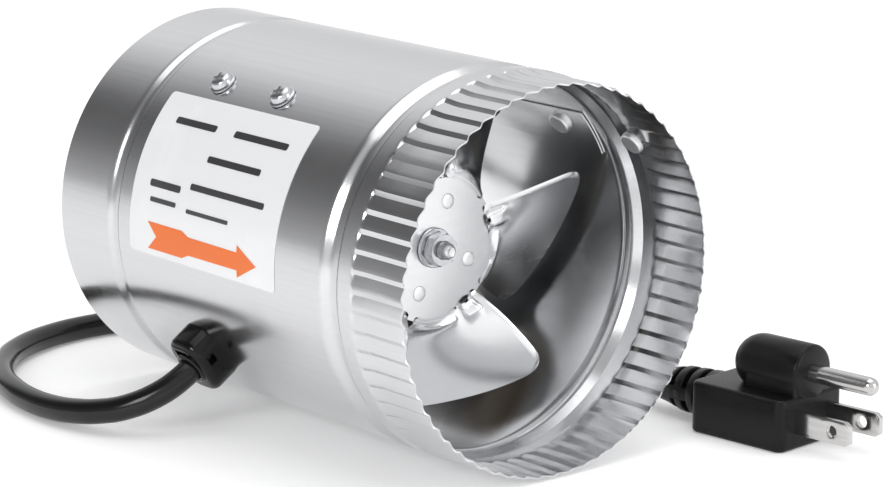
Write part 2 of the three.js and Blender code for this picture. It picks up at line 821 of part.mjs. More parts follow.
function glandBody() {
  const head = new THREE.ExtrudeGeometry(
    oval(glandHead.length - 2, glandHead.width - 2, 8),
    { depth: glandHead.height - 1, bevelSize: 1, bevelThickness: 1, bevelSegments: 1, steps: 1 },
  ).translate(glandAlong, 0, glandSeat + 0.5);
  const foot = ring(tubeRadius - wall - glandReach, glandTop - 2, glandNeck, 0, 20);
  const barb = ring(innerRadius - gap - 2.5, innerRadius - gap - 0.2, glandNeck + 0.8, 0, 20);
  const upright = (geometry) => geometry.rotateY(-Math.PI / 2).translate(glandAlong, 0, 0);
  const cut = ring(innerRadius - glandReach - 2, glandTop + 2, cordRadius + gap, 0, 16);
  const slot = box(
    [glandAlong - lockWidth / 2 - gap, lockFrom - gap, glandTop - 4],
    [glandAlong + lockWidth / 2 + gap, glandHead.length / 2 - 1.2, glandTop + 2],
  );
  // the barb would not pass the hole, so it is split off the neck's two sides only
  const flats = box([glandAlong - 20, -4, innerRadius - 8], [glandAlong + 20, 4, innerRadius]);
  const lower = box([0, -50, glandSeat - 0.5], [tubeLength, 50, glandSeat]);
  return solid(head)
    .subtract(solid(lower))
    .add(solid(upright(foot)))
    .add(solid(upright(barb)).subtract(solid(flats)))
    .subtract(solid(upright(cut)))
    .subtract(solid(slot));
}

gland.add(mesh('cord_gland', glandBody(), blackNylon));
gland.add(mesh('gland_lock', box(
  [glandAlong - lockWidth / 2, lockFrom, glandTop - 4 + gap],
  [glandAlong + lockWidth / 2, glandHead.length / 2 - 1.2 - gap, glandTop - 0.6],
), blackNylon));

const cordEnd = innerRadius - cordInside;
const stub = ring(cordEnd, glandTop, cordRadius, 0, 12);
gland.add(mesh('cord_inner_end', stub.rotateY(-Math.PI / 2).translate(glandAlong, 0, 0), blackPvc));

// The wires run in the motor's frame: the live and the neutral pass behind the core to two splice caps
// beside the coil, and the earth wire goes to a screw in the strap's rear leg.
const leadRadius = 0.9;
const capRadius = 2.6;
const capLength = 12;
const capFar = -bobbinSide - gap;
const capEnd = capFar - capLength - gap;
const capAlong = stackRear - 5.5;
const capHeights = { live: -26.5, neutral: -34.5 };
const endAngle = toRadians(glandAngle - motorAngle + 90);
const endRadius = cordEnd - gap - 0.2;
const cordFace = [endRadius * Math.cos(endAngle), endRadius * Math.sin(endAngle)];

const leadRoutes = {
  live: [
    [glandAlong - 1.4, cordFace[0], cordFace[1] - 0.6],
    [glandAlong - 2.4, -32, 0.6],
    [capAlong + 3.5, -30, -6],
    [capAlong + 1, -30.5, -14],
    [capAlong, -31, -21],
    [capAlong, -29.5, -25.6],
    [capAlong, capEnd, capHeights.live],
  ],
  neutral: [
    [glandAlong + 1.4, cordFace[0], cordFace[1] - 0.6],
    [glandAlong + 1, -31.5, 0],
    [capAlong + 7, -28.5, -8],
    [capAlong + 4, -29.5, -18],
    [capAlong + 2, -33.5, -26],
    [capAlong, -33, -32.5],
    [capAlong, -30, -34.6],
    [capAlong, capEnd, capHeights.neutral],
  ],
};
const leadSheaths = { live: blackPvc, neutral: whitePvc };

Object.entries(leadRoutes).forEach(([name, route]) => {
  const cap = ring(0, capLength, capRadius, 0, 10).rotateZ(-Math.PI / 2);
  motor.add(mesh(`splice_cap_${name}`, cap.translate(capAlong, capFar, capHeights[name]), nylon));
  motor.add(mesh(`lead_${name}`, cable(route, leadRadius, 6, 12), leadSheaths[name]));
});

const earthRoute = [
  [glandAlong, cordFace[0], cordFace[1] + 1.6],
  [glandAlong - 0.6, -32.5, 4],
  [strapRear + 5, -27.5, 12],
  [strapRear - 1.6, earthPlace[0] - 6, earthPlace[1]],
  [strapRear - 1.6, earthPlace[0] - 2.6, earthPlace[1]],
];
const terminal = ring(strapRear - gap - 1.6, strapRear - gap, 3, earthRadius + gap, 12);
const earthLead = solid(cable(earthRoute, leadRadius, 6, 10))
  .add(solid(terminal.translate(0, ...earthPlace)))
  .subtract(solid(ring(strapRear - 3, strapRear, earthRadius + gap, 0, 12).translate(0, ...earthPlace)));
motor.add(mesh('lead_earth', earthLead, greenPvc));

const earthHead = strapRear - 2 * gap - 1.6;
const earthScrew = turned([
  [earthHead - 1.8, 0],
  [earthHead - 1.4, 2],
  [earthHead, 2.6],
  [earthHead, earthRadius],
  [strapRear + strapThick + 2.4, earthRadius],
  [strapRear + strapThick + 2.4, 0],
], 10);
motor.add(mesh('earth_screw', earthScrew.translate(0, ...earthPlace), zincPlated));

// ---------------------------------------------------------------- the cord outside, and its plug

const glandOut = new THREE.Vector3(0, Math.cos(toRadians(glandAngle)), Math.sin(toRadians(glandAngle)));
const glandMouth = new THREE.Vector3(glandAlong - tubeLength / 2, 0, tubeRadius);

function fromGland(distance) {
  const point = glandMouth.clone().addScaledVector(glandOut, distance);
  return [point.x, point.y, point.z];
}

const onGround = cordRadius + 0.05;

// The cord runs on to the coil, and off it, along its side towards +X, at the radius of its outer turns.
const [coilX, coilY] = coilCentre;
const coilRun = coilY - (coilMeanRadius + coilBand / 2 - cordRadius);
const coilOuter = coilMeanRadius + coilBand / 2 + cordRadius + gap;
const coilTouch = Math.sqrt(coilOuter ** 2 - (coilY - coilRun) ** 2);

// Where the cord meets the back of the plug's strain relief.
const plugTurn = toRadians(plugAngle);
const plugDirection = new THREE.Vector3(Math.cos(plugTurn), Math.sin(plugTurn), 0);
const reliefFace = -plugBody.length - gap;
const reliefBack = new THREE.Vector3(...plugPlace, reliefHeight)
  .addScaledVector(plugDirection, reliefFace - reliefLength - gap);

// From the gland down to the ground, round in a loop past the inlet end and on to the coil.
const nearRoute = [
  fromGland(glandTop + gap),
  fromGland(glandTop + 3),
  [-20.1, -55.9, 11.9],
  [-26.2, -62.8, 7.9],
  [-33, -66.7, 6],
  [-40.6, -69.1, 4.8],
  [-50, -70.4, 3.9],
  [-61, -70.2, 3.5],
  [-73, -68.3, onGround],
  [-86, -63.8, onGround],
  [-98.5, -56, onGround],
  [-109, -45, onGround],
  [-115.8, -31, onGround],
  [-118.2, -16, onGround],
  [-116.3, -1, onGround],
  [-111.5, 13, onGround],
  [-105, 27, onGround],
  [-95.5, 39.6, onGround],
  [coilX - coilTouch, coilRun - 1.4, onGround],
];
const farRoute = [
  [coilX + coilTouch + 2, coilRun + 1, coilHeight - cordRadius - 1],
  [-12, 54.4, 7.8],
  [2, 57.9, 6.1],
  [14, 60.9, 5.2],
  [25, 63, 5.5],
  reliefBack.clone().addScaledVector(plugDirection, -4).toArray(),
  reliefBack.toArray(),
];

const laid = new THREE.Group();
laid.add(mesh('cord_near', cable(nearRoute, cordRadius, 10, 28), blackPvc));
laid.add(mesh('cord_far', cable(farRoute, cordRadius, 10, 6), blackPvc));

const coilRing = turned([
  [0.05, coilMeanRadius - coilBand / 2 + 1.5],
  [0.05, coilMeanRadius + coilBand / 2 - 1.5],
  [1.8, coilMeanRadius + coilBand / 2],
  [coilHeight - 1.8, coilMeanRadius + coilBand / 2],
  [coilHeight, coilMeanRadius + coilBand / 2 - 1.5],
  [coilHeight, coilMeanRadius - coilBand / 2 + 1.5],
  [coilHeight - 1.8, coilMeanRadius - coilBand / 2],
  [1.8, coilMeanRadius - coilBand / 2],
  [0.05, coilMeanRadius - coilBand / 2 + 1.5],
], 32);
laid.add(mesh('cord_coil', coilRing.rotateY(-Math.PI / 2).translate(coilX, coilY, 0), blackPvc));

const plug = new THREE.Group();
plug.position.set(plugPlace[0], plugPlace[1], 0);
plug.rotation.z = plugTurn;
laid.add(plug);

function pocket(from, to) {
  return box([-pinRoot - gap, from[0] - gap, from[1] - gap], [1, to[0] + gap, to[1] + gap]);
}

const bladeHeight = 7.5;
const pinHeight = lobe.height;
const bladeSides = { near: -blade.spacing / 2, far: blade.spacing / 2 };

function plugMoulding() {
  const { length, width, height } = plugBody;
  const bodyBox = box([-length, -width / 2, 0.05], [0, width / 2, height]);
  const domeAt = lobe.radius - lobe.length;
  const dome = new THREE.SphereGeometry(lobe.radius, 16, 10).translate(domeAt, 0, lobe.height);
  const barrel = ring(domeAt, 0, lobe.radius, 0, 20).translate(0, 0, lobe.height);
  const web = box([domeAt, -lobe.radius, height - 1], [0, lobe.radius, lobe.height]);
  let shape = solid(bodyBox).add(solid(barrel)).add(solid(web)).add(solid(dome));
  Object.values(bladeSides).forEach((side) => {
    const low = [side - blade.thick / 2, bladeHeight - blade.width / 2];
    const high = [side + blade.thick / 2, bladeHeight + blade.width / 2];
    shape = shape.subtract(solid(pocket(low, high)));
  });
  const pinHole = ring(-pinRoot - gap, 1, pinRadius + gap, 0, 16).translate(0, 0, pinHeight);
  return shape.subtract(solid(pinHole));
}

plug.add(mesh('plug_body', plugMoulding(), blackPvc));

const flatPin = outline([
  [-blade.width / 2, -pinRoot],
  [blade.width / 2, -pinRoot],
  [blade.width / 2, blade.length - 1.5],
  [blade.width / 2 - 1.2, blade.length],
  [1.2 - blade.width / 2, blade.length],
  [-blade.width / 2, blade.length - 1.5],
]);
flatPin.holes.push(roundHole(0, blade.holeAt, blade.hole));

// the outline's width stands up along Z, its length runs along X and its thickness along Y
const bladeBasis = new THREE.Matrix4().makeBasis(
  new THREE.Vector3(0, 0, 1),
  new THREE.Vector3(1, 0, 0),
  new THREE.Vector3(0, 1, 0),
);
Object.entries(bladeSides).forEach(([name, side]) => {
  const options = { depth: blade.thick, bevelEnabled: false, curveSegments: 6 };
  const plate = new THREE.ExtrudeGeometry(flatPin, options);
  plate.applyMatrix4(bladeBasis).translate(0, side - blade.thick / 2, bladeHeight);
  plug.add(mesh(`plug_blade_${name}`, plate, nickel));
});

const groundPin = turned([
  [-pinRoot, 0],
  [-pinRoot, pinRadius],
  [pinLength - 2, pinRadius],
  [pinLength - 0.6, pinRadius * 0.75],
  [pinLength, pinRadius * 0.3],
  [pinLength, 0],
], 16).translate(0, 0, pinHeight);
plug.add(mesh('plug_ground_pin', groundPin, nickel));

const reliefProfile = [
  [reliefFace - reliefLength, 0],
  [reliefFace - reliefLength, cordRadius + 0.8],
  [reliefFace - 14, 5.6],
  [reliefFace - 12, 6.6],
  [reliefFace, 6.9],
  [reliefFace, 0],
];
plug.add(mesh('plug_strain_relief', turned(reliefProfile, 16).translate(0, 0, reliefHeight), blackPvc));

const group = new THREE.Group();
group.add(fan);
group.add(laid);

export default group;
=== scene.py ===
# %% [markdown]
# # An inline duct fan, dressed for its picture
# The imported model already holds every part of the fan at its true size: a steel tube, a small motor,
# a five-blade impeller, and a mains cord with its plug. This lesson loads that model as a fixed frame,
# then gives each piece the rounded edges, pressed ribs and finishes that the real ones have.
# Lengths are written in millimetres, because that is how such parts are drawn, and are scaled at the end.

# %% Load the frame
import math

import bmesh
import bpy
from mathutils import Matrix, Vector


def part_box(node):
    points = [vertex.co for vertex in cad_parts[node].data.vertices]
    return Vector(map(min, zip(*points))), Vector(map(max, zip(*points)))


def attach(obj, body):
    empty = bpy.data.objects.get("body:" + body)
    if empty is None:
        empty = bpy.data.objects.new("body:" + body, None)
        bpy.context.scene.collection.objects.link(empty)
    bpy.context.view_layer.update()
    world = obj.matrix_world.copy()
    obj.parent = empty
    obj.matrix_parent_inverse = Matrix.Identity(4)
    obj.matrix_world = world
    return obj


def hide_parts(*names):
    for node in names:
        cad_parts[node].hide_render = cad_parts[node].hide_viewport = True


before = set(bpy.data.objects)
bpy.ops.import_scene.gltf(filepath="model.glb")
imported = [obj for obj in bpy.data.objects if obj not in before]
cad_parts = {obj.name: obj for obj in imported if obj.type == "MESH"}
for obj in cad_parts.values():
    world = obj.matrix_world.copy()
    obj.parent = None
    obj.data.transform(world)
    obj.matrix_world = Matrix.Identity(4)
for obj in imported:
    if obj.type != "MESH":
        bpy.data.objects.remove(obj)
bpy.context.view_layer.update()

MM = 0.001
tube_low, tube_high = (Vector(corner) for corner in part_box("casing"))
TUBE_LENGTH = (tube_high.x - tube_low.x) / MM
TUBE_RADIUS = (tube_high.z - tube_low.z) / 2 / MM
print(f"tube {TUBE_LENGTH:.1f} mm long, {TUBE_RADIUS:.1f} mm in radius; {len(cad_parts)} nodes loaded")

# %% [markdown]
# ## Two drawing spaces
# Most pieces are round the fan's axis, so they are drawn in the fan's own millimetres: X from the inlet
# end, Y and Z from the axis. Others stand on the tube like a screw, and are drawn upright first. One
# matrix takes each space to its place in the frame, which saves moving any object afterwards.

# %% Matrices from the drawing spaces to the frame
AXIS_HEIGHT = (tube_low.z + tube_high.z) / 2
FAN = Matrix.Translation((tube_low.x, 0, AXIS_HEIGHT)) @ Matrix.Scale(MM, 4)
GROUND = Matrix.Scale(MM, 4)


def upright(along, angle):
    """The space of a piece that stands on the tube: its Z is the distance from the fan's axis."""
    return FAN @ Matrix.Translation((along, 0, 0)) @ Matrix.Rotation(math.radians(angle - 90), 4, "X")


def around(angle, distance):
    """Y and Z of a point round the axis, from an angle in degrees and a distance."""
    return distance * math.cos(math.radians(angle)), distance * math.sin(math.radians(angle))


print("the axis is", round(AXIS_HEIGHT / MM, 1), "mm above the ground")

# %% [markdown]
# ## The camera
# The camera looks at the outlet from the left and a little above, with a long lens, so the tube's far
# end is hardly smaller than its near end. It is placed first, because the cord may only be put away
# where this camera doesn't see it.

# %% The camera
camera_data = bpy.data.cameras.new("long_lens")
camera_data.lens = 126.3
camera_data.sensor_width = 36
camera_data.clip_start = 0.01
camera = bpy.data.objects.new("camera", camera_data)
camera.location = (0.6399, -0.4987, 0.2356)
camera.rotation_euler = (math.radians(76.94), 0, math.radians(50.73))
bpy.context.scene.collection.objects.link(camera)
bpy.context.scene.camera = camera
print("camera at", tuple(round(value, 3) for value in camera.location))

# %% [markdown]
# ## Finishes: shared effects
# Rolled and plated metal is never one even grey. Fine lines run the way the sheet was rolled, hands
# leave soft smudges, and plating has a faint grain. Each effect is a node group, made once, that turns
# a position into a mask, so that every material can use it with its own sizes and strengths.

# %% A short way to add a node
def add_node(tree, kind, inputs=None, **settings):
    """Adds a node, sets its options, and links or fills its inputs."""
    made = tree.nodes.new(kind)
    for key, value in settings.items():
        setattr(made, key, value)
    for socket, value in (inputs or {}).items():
        if isinstance(value, bpy.types.NodeSocket):
            tree.links.new(value, made.inputs[socket])
        else:
            made.inputs[socket].default_value = value
    return made


def start_group(name, sockets):
    """A shader node group with named inputs and one output called Mask."""
    group = bpy.data.node_groups.new(name, "ShaderNodeTree")
    for label, kind, value in sockets:
        made = group.interface.new_socket(label, in_out="INPUT", socket_type=kind)
        if value is not None:
            made.default_value = value
    group.interface.new_socket("Mask", in_out="OUTPUT", socket_type="NodeSocketFloat")
    return group, group.nodes.new("NodeGroupInput"), group.nodes.new("NodeGroupOutput")


def noise(tree, vector, scale, detail, roughness, distortion=0.0):
    """The value of a noise texture."""
    return add_node(tree, "ShaderNodeTexNoise", {
        "Vector": vector, "Scale": scale, "Detail": detail, "Roughness": roughness, "Distortion": distortion,
    }).outputs["Fac"]


print("node helpers ready")

# %% Rolling lines, smudges and grain
lines_group, given, result = start_group("rolling_lines", [
    ("Position", "NodeSocketVector", None),
    ("Stretch", "NodeSocketVector", (20.0, 900.0, 900.0)),
    ("Contrast", "NodeSocketFloat", 0.25),
])
stretched = add_node(lines_group, "ShaderNodeVectorMath",
                     {0: given.outputs["Position"], 1: given.outputs["Stretch"]}, operation="MULTIPLY")
low_edge, high_edge = (
    add_node(lines_group, "ShaderNodeMath", {0: 0.5, 1: given.outputs["Contrast"]}, operation=kind).outputs[0]
    for kind in ("SUBTRACT", "ADD"))
fine = noise(lines_group, stretched.outputs[0], 1.0, 4.0, 0.6)
spread = add_node(lines_group, "ShaderNodeMapRange",
                  {"Value": fine, "From Min": low_edge, "From Max": high_edge})
lines_group.links.new(spread.outputs[0], result.inputs["Mask"])

SMUDGE_EDGE = 0.22
smudge_group, given, result = start_group("smudges", [
    ("Position", "NodeSocketVector", None),
    ("Size", "NodeSocketFloat", 28.0),
    ("Cover", "NodeSocketFloat", 0.5),
])
blots = noise(smudge_group, given.outputs["Position"], given.outputs["Size"], 3.0, 0.55, 0.6)
edge = add_node(smudge_group, "ShaderNodeMath", {0: given.outputs["Cover"], 1: SMUDGE_EDGE}, operation="ADD")
soft = add_node(smudge_group, "ShaderNodeMapRange",
                {"Value": blots, "From Min": given.outputs["Cover"], "From Max": edge.outputs[0]},
                interpolation_type="SMOOTHSTEP")
smudge_group.links.new(soft.outputs[0], result.inputs["Mask"])

grain_group, given, result = start_group("grain", [
    ("Position", "NodeSocketVector", None),
    ("Size", "NodeSocketFloat", 900.0),
])
specks = noise(grain_group, given.outputs["Position"], given.outputs["Size"], 5.0, 0.7)
grain_group.links.new(specks, result.inputs["Mask"])
print("groups:", [group.name for group in bpy.data.node_groups])

# %% [markdown]
# ## Finishes: the materials
# Two recipes cover nearly everything here. A metal is shiny and coloured by its reflections, so its
# rolling lines go mostly into the roughness. A plastic has a coloured body under a clear skin, so its
# grain goes into a very fine bump. Uniform values sit on the shader's own sockets.

# %% Metals and plastics
BUMP_DISTANCE = 0.0002


def use_group(tree, group, position, **values):
    """Places one of the shared groups in a material and returns its mask."""
    return add_node(tree, "ShaderNodeGroup", {"Position": position, **values}, node_tree=group).outputs["Mask"]


def start_material(name):
    """A material with its shader and the object's own coordinates."""
    material = bpy.data.materials.new(name)
    material.use_nodes = True
    tree = material.node_tree
    position = tree.nodes.new("ShaderNodeTexCoord").outputs["Object"]
    return material, tree, tree.nodes["Principled BSDF"], position


def blend_colours(tree, mask, first, second):
    """A colour that goes from the first to the second with a mask."""
    ends = {index: colour if isinstance(colour, bpy.types.NodeSocket) else (*colour, 1)
            for index, colour in ((6, first), (7, second))}
    return add_node(tree, "ShaderNodeMix", {0: mask, **ends}, data_type="RGBA").outputs[2]


def blend_values(tree, mask, first, second):
    """A number that goes from the first to the second with a mask."""
    return add_node(tree, "ShaderNodeMapRange", {"Value": mask, "To Min": first, "To Max": second}).outputs[0]


def link_finish(tree, shader, base, roughness, height, relief):
    """Links a colour, a roughness and a fine bump to the shader."""
    bump = add_node(tree, "ShaderNodeBump", {"Height": height, "Strength": relief, "Distance": BUMP_DISTANCE})
    for label, value in (("Base Color", base), ("Roughness", roughness), ("Normal", bump.outputs[0])):
        tree.links.new(value, shader.inputs[label])


def metal(name, colour, roughness, stretch=(500, 500, 500), contrast=0.25, smudge=0.08, relief=0.02, dull=0.82):
    """A metal with rolling lines along one direction and soft smudges."""
    material, tree, shader, position = start_material(name)
    lines = use_group(tree, lines_group, position, Stretch=stretch, Contrast=contrast)
    smudges = use_group(tree, smudge_group, position)
    base = blend_colours(tree, lines, tuple(value * dull for value in colour), colour)
    lined = blend_values(tree, lines, roughness * 1.2, roughness * 0.88)
    worn = add_node(tree, "ShaderNodeMath", {0: smudges, 1: smudge, 2: lined}, operation="MULTIPLY_ADD")
    link_finish(tree, shader, base, worn.outputs[0], lines, relief)
    shader.inputs["Metallic"].default_value = 1
    return material


def plastic(name, colour, roughness, grain=900, relief=0.06, smudge=0.1, coat=0.0, pale=1.25, gloss=0.5):
    """A moulded plastic with a fine grain and a few dull patches."""
    material, tree, shader, position = start_material(name)
    specks = use_group(tree, grain_group, position, Size=grain)
    smudges = use_group(tree, smudge_group, position, Size=45.0)
    base = blend_colours(tree, smudges, colour, tuple(min(1, value * pale) for value in colour))
    link_finish(tree, shader, base, blend_values(tree, smudges, roughness, roughness + smudge), specks, relief)
    for label, value in (("Specular IOR Level", gloss), ("Coat Weight", coat), ("Coat Roughness", 0.12)):
        shader.inputs[label].default_value = value
    return material


galvanised = metal("galvanised_sheet", (0.67, 0.675, 0.685), 0.17, (9, 1100, 1100), 0.5, 0.05, 0.006, 0.9)
# The tube's inside is the same sheet painted paler than the outside: painted light.
lining_painted_light = metal("lining_painted_light", (0.84, 0.845, 0.855), 0.17, (9, 700, 700), 0.5, 0.05, 0.0, 0.95)
rolled_aluminium = metal("rolled_aluminium", (0.80, 0.805, 0.815), 0.22, (300, 30, 600), 0.45, 0.05,
                         relief=0.008, dull=0.95)
rivet_metal = metal("rivet_metal", (0.88, 0.885, 0.89), 0.42, contrast=0.4, dull=0.92)
# The motor strap's zinc is painted darker than the screws' zinc: painted shade for the inside of the tube.
motor_zinc_painted_shade = metal("zinc_painted_shade", (0.34, 0.34, 0.35), 0.32, smudge=0.12)
zinc_plate = metal("zinc_plate", (0.62, 0.63, 0.65), 0.2, smudge=0.12)
ground_steel = metal("ground_steel", (0.72, 0.73, 0.74), 0.18, (2500, 60, 60))
# The motor's cast metal is painted dark: painted shade for the inside of the tube.
cast_metal_painted_shade = metal("cast_metal_painted_shade", (0.36, 0.365, 0.38), 0.45, (420, 420, 420), relief=0.12, smudge=0.1)
bronze = metal("oiled_bronze", (0.55, 0.40, 0.20), 0.4, (600, 600, 600), relief=0.08)
bare_copper = metal("bare_copper", (0.72, 0.36, 0.20), 0.3, (400, 60, 400))
nickel_plate = metal("nickel_plate", (0.62, 0.61, 0.60), 0.16, (30, 900, 900), relief=0.01, smudge=0.05)
moulded_nylon = plastic("moulded_nylon", (0.80, 0.77, 0.68), 0.45)
black_nylon = plastic("black_nylon", (0.004, 0.004, 0.0045), 0.12, relief=0.03, coat=0.12, gloss=0.22)
cord_pvc = plastic("cord_sheath", (0.005, 0.005, 0.0055), 0.17, grain=1500, relief=0.04, coat=0.1, gloss=0.36)
plug_pvc = plastic("plug_moulding", (0.006, 0.006, 0.0065), 0.27, grain=1400, relief=0.15, gloss=0.2)
white_wire = plastic("white_wire", (0.78, 0.78, 0.75), 0.38)
black_wire = plastic("black_wire", (0.012, 0.012, 0.013), 0.35)
green_wire = plastic("green_wire", (0.03, 0.25, 0.08), 0.38)
tie_plastic = plastic("tie_plastic", (0.014, 0.014, 0.015), 0.34)
print(len(bpy.data.materials), "materials")

# %% [markdown]
# Two finishes need a pattern of their own. The motor's core is a stack of thin stampings, which shows
# as fine lines round its sides, and its coil is wrapped in overlapping turns of varnished tape. A wave
# texture along the right direction draws both, with a little noise so that no two lines are alike.

# %% Stamped stack and wrapped tape
def banded(name, colour, seam, roughness, metallic, scale, direction, seam_width):
    """A material with repeated seams at even steps along one direction."""
    material, tree, shader, position = start_material(name)
    wave = add_node(tree, "ShaderNodeTexWave",
                    {"Vector": position, "Scale": scale, "Distortion": 0.4, "Detail": 2.0, "Detail Scale": 2.0},
                    bands_direction=direction, wave_profile="SAW")
    step = add_node(tree, "ShaderNodeMapRange",
                    {"Value": wave.outputs["Fac"], "From Min": 0.0, "From Max": seam_width}).outputs[0]
    smudges = use_group(tree, smudge_group, position, Size=70.0)
    body = blend_colours(tree, smudges, colour, tuple(value * 0.8 for value in colour))
    link_finish(tree, shader, blend_colours(tree, step, seam, body),
                blend_values(tree, smudges, roughness, roughness + 0.12), step, 0.5)
    shader.inputs["Metallic"].default_value = metallic
    return material


core_steel = banded("stamped_stack", (0.17, 0.175, 0.185), (0.03, 0.03, 0.035), 0.42, 1.0, 320, "X", 0.3)
coil_tape = banded("varnished_tape", (0.085, 0.055, 0.025), (0.03, 0.02, 0.01), 0.3, 0.0, 60, "Y", 0.12)
print("banded finishes ready")

# %% [markdown]
# ## Making a piece
# Every new piece follows the same last steps: it is moved from its drawing space to its place, doubled
# points are merged, its faces are turned outwards, and its corners are marked sharp or smooth by their
# angle. Doing this in one function keeps each later cell about shape only.

# %% Shape helpers
MERGE = 2e-6


def finish_piece(name, bm, space, material, body="housing", nodes=(), sharp=38):
    """Turns a bmesh into a placed object that rides on a body and stands for its CAD nodes."""
    bmesh.ops.transform(bm, matrix=space, verts=bm.verts)
    bmesh.ops.remove_doubles(bm, verts=bm.verts, dist=MERGE)
    bmesh.ops.recalc_face_normals(bm, faces=bm.faces)
    mesh = bpy.data.meshes.new(name)
    bm.to_mesh(mesh)
    bm.free()
    mesh.materials.append(material)
    mesh.shade_smooth()
    mesh.set_sharp_from_angle(angle=math.radians(sharp))
    piece = bpy.data.objects.new(name, mesh)
    bpy.context.scene.collection.objects.link(piece)
    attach(piece, body)
    if nodes:
        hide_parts(*nodes)
    print(f"{name}: {[round(side / MM, 1) for side in piece.dimensions]} mm, {len(mesh.polygons)} faces")
    return piece


def shift(bm, x=0.0, y=0.0, z=0.0):
    """Moves the whole shape."""
    bmesh.ops.translate(bm, vec=(x, y, z), verts=bm.verts)
    return bm


def roll(bm, degrees):
    """Turns the whole shape about the X axis."""
    bmesh.ops.rotate(bm, matrix=Matrix.Rotation(math.radians(degrees), 3, "X"), verts=bm.verts)
    return bm


def push(bm, grown, x=0.0, y=0.0, z=0.0):
    """Moves the points that an extrusion has just made, and returns them."""
    points = [part for part in grown["geom"] if isinstance(part, bmesh.types.BMVert)]
    bmesh.ops.translate(bm, vec=(x, y, z), verts=points)
    return points


def round_edges(bm, width, segments=2, angle=30):
    """Bevels every edge that is sharper than an angle, as a press or a mould leaves it."""
    edges = [e for e in bm.edges if len(e.link_faces) == 2 and e.calc_face_angle(0) > math.radians(angle)]
    bmesh.ops.bevel(bm, geom=edges, offset=width, segments=segments, profile=0.5, affect="EDGES",
                    material=-1, clamp_overlap=True)


def block(size, centre, ease, segments=2):
    """A box with rounded edges."""
    bm = bmesh.new()
    bmesh.ops.create_cube(bm, size=1)
    bmesh.ops.scale(bm, vec=size, verts=bm.verts)
    round_edges(bm, ease, segments)
    return shift(bm, *centre)


def turned(profile, steps=48):
    """[along, radius] points spun round the X axis, as on a lathe."""
    bm = bmesh.new()
    points = [bm.verts.new((along, 0, radius)) for along, radius in profile]
    edges = [bm.edges.new(pair) for pair in zip(points, points[1:])]
    bmesh.ops.spin(bm, geom=points + edges, cent=(0, 0, 0), axis=(1, 0, 0), angle=2 * math.pi, steps=steps,
                   use_merge=True)
    bmesh.ops.remove_doubles(bm, verts=bm.verts, dist=1e-4)
    bmesh.ops.recalc_face_normals(bm, faces=bm.faces)
    return bm


def closed(profile):
    """Closes a profile, so that a ring has its bore as well as its outside."""
    return [*profile, profile[0]]


def from_base(base, *points):
    """A profile whose places along the axis are counted from a base."""
    return [(base + along, radius) for along, radius in points]


def join(bm, other):
    """Adds another shape to this one."""
    holder = bpy.data.meshes.new("holder")
    other.to_mesh(holder)
    other.free()
    bm.from_mesh(holder)
    bpy.data.meshes.remove(holder)


STAND = Matrix.Rotation(-math.pi / 2, 4, "Y")  # takes a piece turned about X and stands it up along Z
print("shape helpers ready")

# %% [markdown]
# ## The cord
# A mains cord is one length of round sheath, so it is one curve with a round bevel: the curve is its
# centreline. It leaves the gland, drops to the ground in a loose loop past the inlet end, and the rest
# is wound up behind the tube in a flat coil of two layers, as it would be put away on a shelf.

# %% The way the cord goes
CORD_RADIUS = 3.4
LYING = CORD_RADIUS + 0.05
GLAND_ALONG = 56
GLAND_ANGLE = -145
GLAND_MOUTH = TUBE_RADIUS + 7.3
AXIS = AXIS_HEIGHT / MM
INLET = tube_low.x / MM


def from_gland(distance):
    """A point straight out from the gland, at a distance from the fan's axis."""
    across, rise = around(GLAND_ANGLE, distance)
    return INLET + GLAND_ALONG, across, AXIS + rise


loop_route = [
    from_gland(GLAND_MOUTH - 2), from_gland(GLAND_MOUTH + 2.4), (-20.1, -55.9, 11.9), (-26.2, -62.8, 7.9),
    (-33, -66.7, 6), (-40.6, -69.1, 4.8), (-50, -70.4, 3.9), (-61, -70.2, 3.5), (-73, -68.3, LYING),
    (-86, -63.8, LYING), (-98.5, -56, LYING), (-109, -45, LYING), (-115.8, -31, LYING), (-118.2, -16, LYING),
    (-116.3, -1, LYING), (-111.5, 13, LYING), (-105, 27, LYING), (-95.5, 39.6, LYING), (-82, 48.6, LYING),
    (-67, 50.9, LYING),
]
print(len(loop_route), "points from the gland to the coil")

# %% [markdown]
# The coil goes two turns in towards its middle on the ground, climbs during the third, and comes out
# again on top of the first layer. Wound this way, the cord never has to cross over itself to leave.

# %% The coil's turns
coil_low, coil_high = (Vector(corner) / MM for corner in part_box("cord_coil"))
coil_centre = (coil_low + coil_high) / 2
COIL_OUTER = (coil_high.x - coil_low.x) / 2 - CORD_RADIUS
PITCH = 6.9
LAYER = 6.95
TURNS = 5
POINTS_PER_TURN = 16
TIE_ANGLE = 90
TIE_THICK = 1.1


def smooth_step(share):
    """Goes from 0 to 1 with a soft start and end."""
    share = min(1, max(0, share))
    return share * share * (3 - 2 * share)


def coil_point(turn):
    """A point of the coil after a number of turns."""
    degrees = 360 * turn - 90
    if turn <= 2:
        distance, height = COIL_OUTER - PITCH * turn, LYING
    elif turn <= 3:
        distance = COIL_OUTER - 2 * PITCH - 2.4 * math.sin(math.pi * (turn - 2))
        height = LYING + LAYER * smooth_step(turn - 2)
    else:
        distance, height = COIL_OUTER - PITCH * (TURNS - turn), LYING + LAYER
    from_tie = (degrees - TIE_ANGLE + 180) % 360 - 180
    height += TIE_THICK * math.exp(-((from_tie / 25) ** 2))
    angle = math.radians(degrees)
    return (coil_centre.x + distance * math.cos(angle), coil_centre.y + distance * math.sin(angle), height)


coil_route = [coil_point(i / POINTS_PER_TURN) for i in range(TURNS * POINTS_PER_TURN + 1)]
print(f"coil of {TURNS} turns, {2 * (COIL_OUTER + CORD_RADIUS):.0f} mm across")

